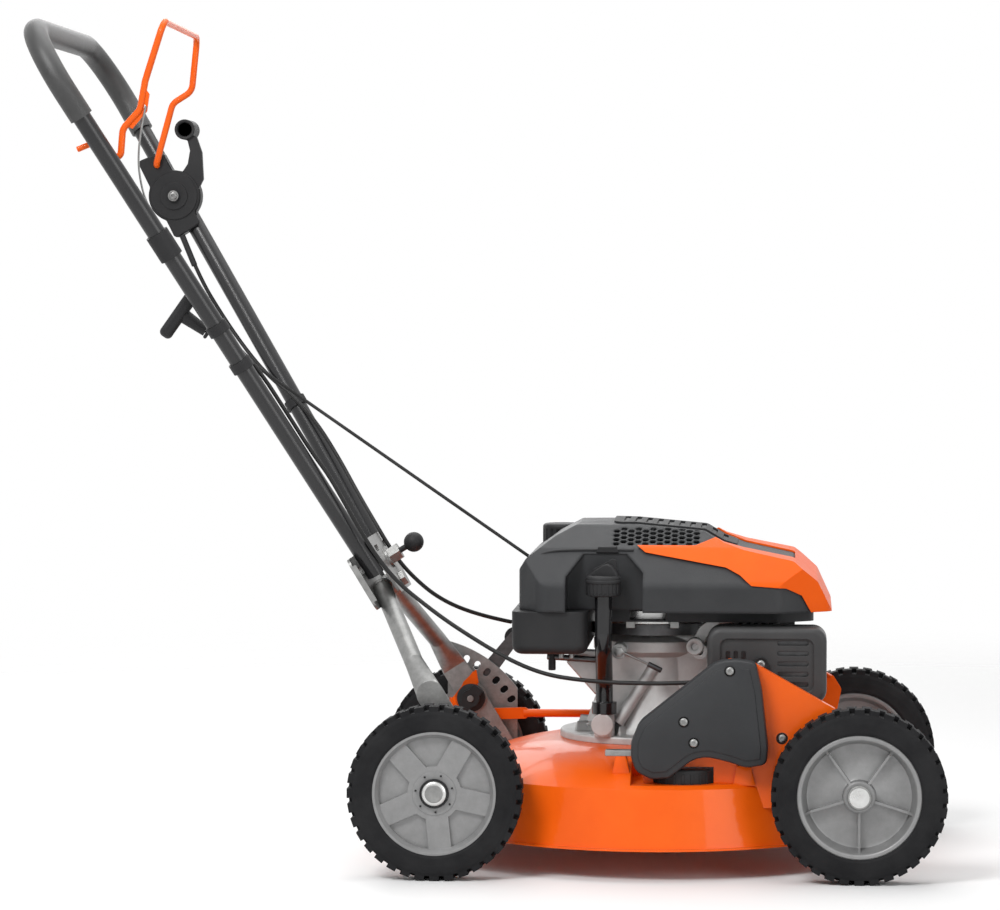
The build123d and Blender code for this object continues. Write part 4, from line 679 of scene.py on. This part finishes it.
for label, side in SIDES:
    turned(f"lock_disc_{label}", LOCK_DISC, (LOCK_BOLT.x, side * LOCK_FACE, LOCK_BOLT.z), (0, -side, 0),
           "black_plastic", f"lock_knob_{label}_body")
    hook_face = LOCK_FACE + HOOK_GAP
    slab(f"lock_hook_{label}", LOCK_HOOK,
         [(side * (hook_face + HOOK_THICKNESS), 0), (side * hook_face, 0)], "orange_paint")


# ---- Oil filler cap ---------------------------------------------------------------
FILLER_TOP = 318
FILLER_CAP = [(0, 0), (15, 0), (19.6, 1.2), (20.6, 2.4, "rib"), (20.6, 14, "rib"), (20.4, 15.2),
              (21.4, 16), (21.4, 18.4), (20.2, 20), (16, 20.8), (0, 21)]
FIN_FOOT = 20.5
FIN = [(-19, FIN_FOOT), (-18.5, 24), (-10, 30), (1, 37), (6, 38.5), (11, 36.5), (17.5, 28), (19, FIN_FOOT)]
# (y, scale): the fin's faces are a little smaller than its middle.
FIN_LEVELS = [(-6.6, 0.9), (-5.2, 1), (5.2, 1), (6.6, 0.9)]
FIN_TURN = -12


def filler_cap():
    low, high = node_box("dipstick")
    middle = (low + high) / 2
    stand = Matrix.Translation(mm(middle.x, middle.y, FILLER_TOP))
    made = bmesh.new()
    turn_into(made, FILLER_CAP, stand, sides=96)
    turn = stand @ Matrix.Rotation(radians(FIN_TURN), 4, "Z")
    skin_rings(made, [[made.verts.new(turn @ mm(x * scale, y, FIN_FOOT + (z - FIN_FOOT) * scale))
                       for x, z in FIN] for y, scale in FIN_LEVELS])
    add_piece("filler_cap_skin", made, "black_plastic", "dipstick_body", smooth=35)


filler_cap()


# ---- Cables, wire and rope --------------------------------------------------------
# The routes are those of the CAD cords.
CONTROL_ROUTE = [(-594, 168, 741), (-571, 160, 688), (-544, 157, 644), (-515, 146, 604), (-483, 124, 569),
                 (-446, 109, 541), (-416, 100, 508), (-388, 86, 466), (-363, 66, 425), (-340, 40, 392),
                 (-318, 32, 357), (-297, 34, 330), (-262, 42, 299), (-215, 60, 278), (-176.5, 75, 269)]
DRIVE_ROUTE = [(-559, -159, 719), (-530, -146, 672), (-502, -132, 625), (-462, -123, 585), (-425, -114, 526),
               (-399, -106, 483), (-379, -104, 456), (-360, -102, 422), (-340, -102, 387), (-319, -104, 355),
               (-295, -108, 328), (-268, -112, 307), (-240, -118, 287), (-211, -124, 269), (-180, -130, 251),
               (-149, -138, 236), (-117, -146, 226), (-83, -156, 222), (-47, -164, 220), (-10, -172, 220),
               (23, -182, 221), (60, -193.2, 224)]
BAIL_WIRE_ROUTE = [(-581, -188.7, 886), (-592, -188.7, 838), (-588, -176, 785), (-572, -168, 755),
                   (-563, -162.6, 738)]
ROPE_START = (-523, -113, 625.3)
ROPE_END = (-146, -60, 358.5)
ROPE_STEPS = 40
# (name, first step, last step, bodies) of each part of the rope.
ROPE_PARTS = [("grip", 0, 6, ("starter_grip_body", "upper_handle")),
              ("eye", 6, 23, ("upper_handle", "lower_handle")),
              ("engine", 23, 41, ("lower_handle", "chassis"))]
CABLE_RADIUS = 2.5
BAIL_WIRE_RADIUS = 1.2
ROPE_RADIUS = 2


def held_cord(name, node, line, radius, bodies, start, end, stiffness="medium", lay="loose"):
    """Part of a cord, made as a tube along a line in place of its CAD node; bodies, start and end are not used."""
    piece = finished(name, tube(line, radius), slot_of[node])
    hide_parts(node)
    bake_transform(piece)


def split_cable(node, route, swivel_zone, tilt_zone):
    """Cable from the upper handle to the engine, in two parts that meet at the end of the swivel zone.

    The upper part runs past the handle's swivel, and the lower one past its tilt.
    """
    line = smooth_line(metres(route))
    swivel_start, swivel_end = metres(swivel_zone)
    joint = min(range(len(line)), key=lambda k: (line[k] - swivel_end).length)
    held_cord(node + "_upper", node, line[:joint + 1], CABLE_RADIUS, ("upper_handle", "lower_handle"),
              swivel_start, line[joint - 2])
    held_cord(node + "_lower", node, line[joint:], CABLE_RADIUS, ("lower_handle", "chassis"),
              *metres(tilt_zone))


split_cable("control_cable", CONTROL_ROUTE, swivel_zone=[(-446, 109, 541), (-345, 48, 400)],
            tilt_zone=[(-287, 36, 320), (-190, 70, 272)])
split_cable("drive_cable", DRIVE_ROUTE, swivel_zone=[(-425, -114, 526), (-345, -102, 395)],
            tilt_zone=[(-340, -102, 387), (-211, -124, 269)])

bail_line = smooth_line(metres(BAIL_WIRE_ROUTE))
held_cord("bail_wire_line", "bail_wire", bail_line, BAIL_WIRE_RADIUS, ("bail_body", "upper_handle"),
          bail_line[0], bail_line[len(bail_line) // 2], stiffness="stiff")

# The rope reaches one step into the grip.
rope_line = [mm(*ROPE_START).lerp(mm(*ROPE_END), k / ROPE_STEPS) for k in range(-1, ROPE_STEPS + 1)]
for part, first, last, bodies in ROPE_PARTS:
    held_cord("starter_rope_" + part, "starter_rope", rope_line[first:last + 1], ROPE_RADIUS, bodies,
              rope_line[first], rope_line[last], lay="taut")


# ---- Floor, light and camera ------------------------------------------------------
AMBIENT = 0.40                  # the world's light on rough surfaces
WHITE = 1.0                     # what the camera and reflections see of it
AIM = (-0.1, 0, 0.35)
LAMPS = [("key", (-1.3, -2.3, 2.7), 1.1, 74),     # name, place, size, watts
         ("fill", (2.6, -2.8, 1.3), 1.8, 30),
         ("top", (0.0, 0.5, 2.9), 2.6, 44),
         ("back", (-1.2, 3.0, 1.8), 2.0, 26)]
FLOOR_RADIUS = 7
FLOOR_FADE = (0.9, 3.2)         # distances over which the floor gives way to the white world
CAMERA_PLACE = (0.172, -4.8152, 0.6884)
CAMERA_YAW = 4.24
CAMERA_PITCH = 2.52
SENSOR_WIDTH = 36
FOCAL_PIXELS = 4034
PHOTO_WIDTH = 1000


def light_world():
    """White world that lights the mower less than the camera and reflections see of it."""
    world = bpy.data.worlds.new("studio")
    bpy.context.scene.world = world
    world.use_nodes = True
    tree = world.node_tree
    back = tree.nodes["Background"]
    path = tree.nodes.new("ShaderNodeLightPath")
    level = tree.nodes.new("ShaderNodeMapRange")
    level.inputs["To Min"].default_value = AMBIENT
    level.inputs["To Max"].default_value = WHITE
    seen = path.outputs["Is Camera Ray"]
    for kind in ("Is Glossy Ray", "Is Transmission Ray"):
        either = tree.nodes.new("ShaderNodeMath")
        either.operation = "MAXIMUM"
        tree.links.new(seen, either.inputs[0])
        tree.links.new(path.outputs[kind], either.inputs[1])
        seen = either.outputs[0]
    tree.links.new(seen, level.inputs["Value"])
    tree.links.new(level.outputs[0], back.inputs["Strength"])
    back.inputs["Color"].default_value = (1, 1, 1, 1)


def lamps():
    for name, place, size, power in LAMPS:
        lamp = bpy.data.lights.new(name, "AREA")
        lamp.energy = power
        lamp.size = size
        holder = bpy.data.objects.new(name, lamp)
        holder.location = place
        holder.rotation_euler = (Vector(AIM) - Vector(place)).to_track_quat("-Z", "Y").to_euler()
        bpy.context.collection.objects.link(holder)


def floor_material():
    """Pale matt floor that fades out to clear between two distances from the mower."""
    material = bpy.data.materials.new("floor")
    material.use_nodes = True
    tree = material.node_tree
    shader = tree.nodes["Principled BSDF"]
    shader.inputs["Base Color"].default_value = (0.86, 0.86, 0.86, 1)
    shader.inputs["Roughness"].default_value = 0.6
    shader.inputs["Specular IOR Level"].default_value = 0.2
    clear = tree.nodes.new("ShaderNodeBsdfTransparent")
    mix = tree.nodes.new("ShaderNodeMixShader")
    place = tree.nodes.new("ShaderNodeTexCoord")
    length = tree.nodes.new("ShaderNodeVectorMath")
    length.operation = "LENGTH"
    fade = tree.nodes.new("ShaderNodeMapRange")
    fade.interpolation_type = "SMOOTHSTEP"
    fade.inputs["From Min"].default_value = FLOOR_FADE[0]
    fade.inputs["From Max"].default_value = FLOOR_FADE[1]
    tree.links.new(place.outputs["Object"], length.inputs[0])
    tree.links.new(length.outputs["Value"], fade.inputs["Value"])
    tree.links.new(fade.outputs[0], mix.inputs["Fac"])
    tree.links.new(shader.outputs[0], mix.inputs[1])
    tree.links.new(clear.outputs[0], mix.inputs[2])
    tree.links.new(mix.outputs[0], tree.nodes["Material Output"].inputs["Surface"])
    return material


def floor():
    made = bmesh.new()
    bmesh.ops.create_circle(made, cap_ends=True, radius=FLOOR_RADIUS, segments=96)
    obj = mesh_object("floor", made)
    obj.data.materials.append(floor_material())


def photo_camera():
    data = bpy.data.cameras.new("camera")
    data.sensor_width = SENSOR_WIDTH
    data.lens = FOCAL_PIXELS * SENSOR_WIDTH / PHOTO_WIDTH
    data.clip_end = 60
    holder = bpy.data.objects.new("camera", data)
    holder.location = CAMERA_PLACE
    holder.rotation_euler = (radians(90 - CAMERA_PITCH), 0, radians(CAMERA_YAW))
    bpy.context.collection.objects.link(holder)
    bpy.context.scene.camera = holder


light_world()
lamps()
floor()
photo_camera()
bpy.context.scene.view_settings.view_transform = "Standard"
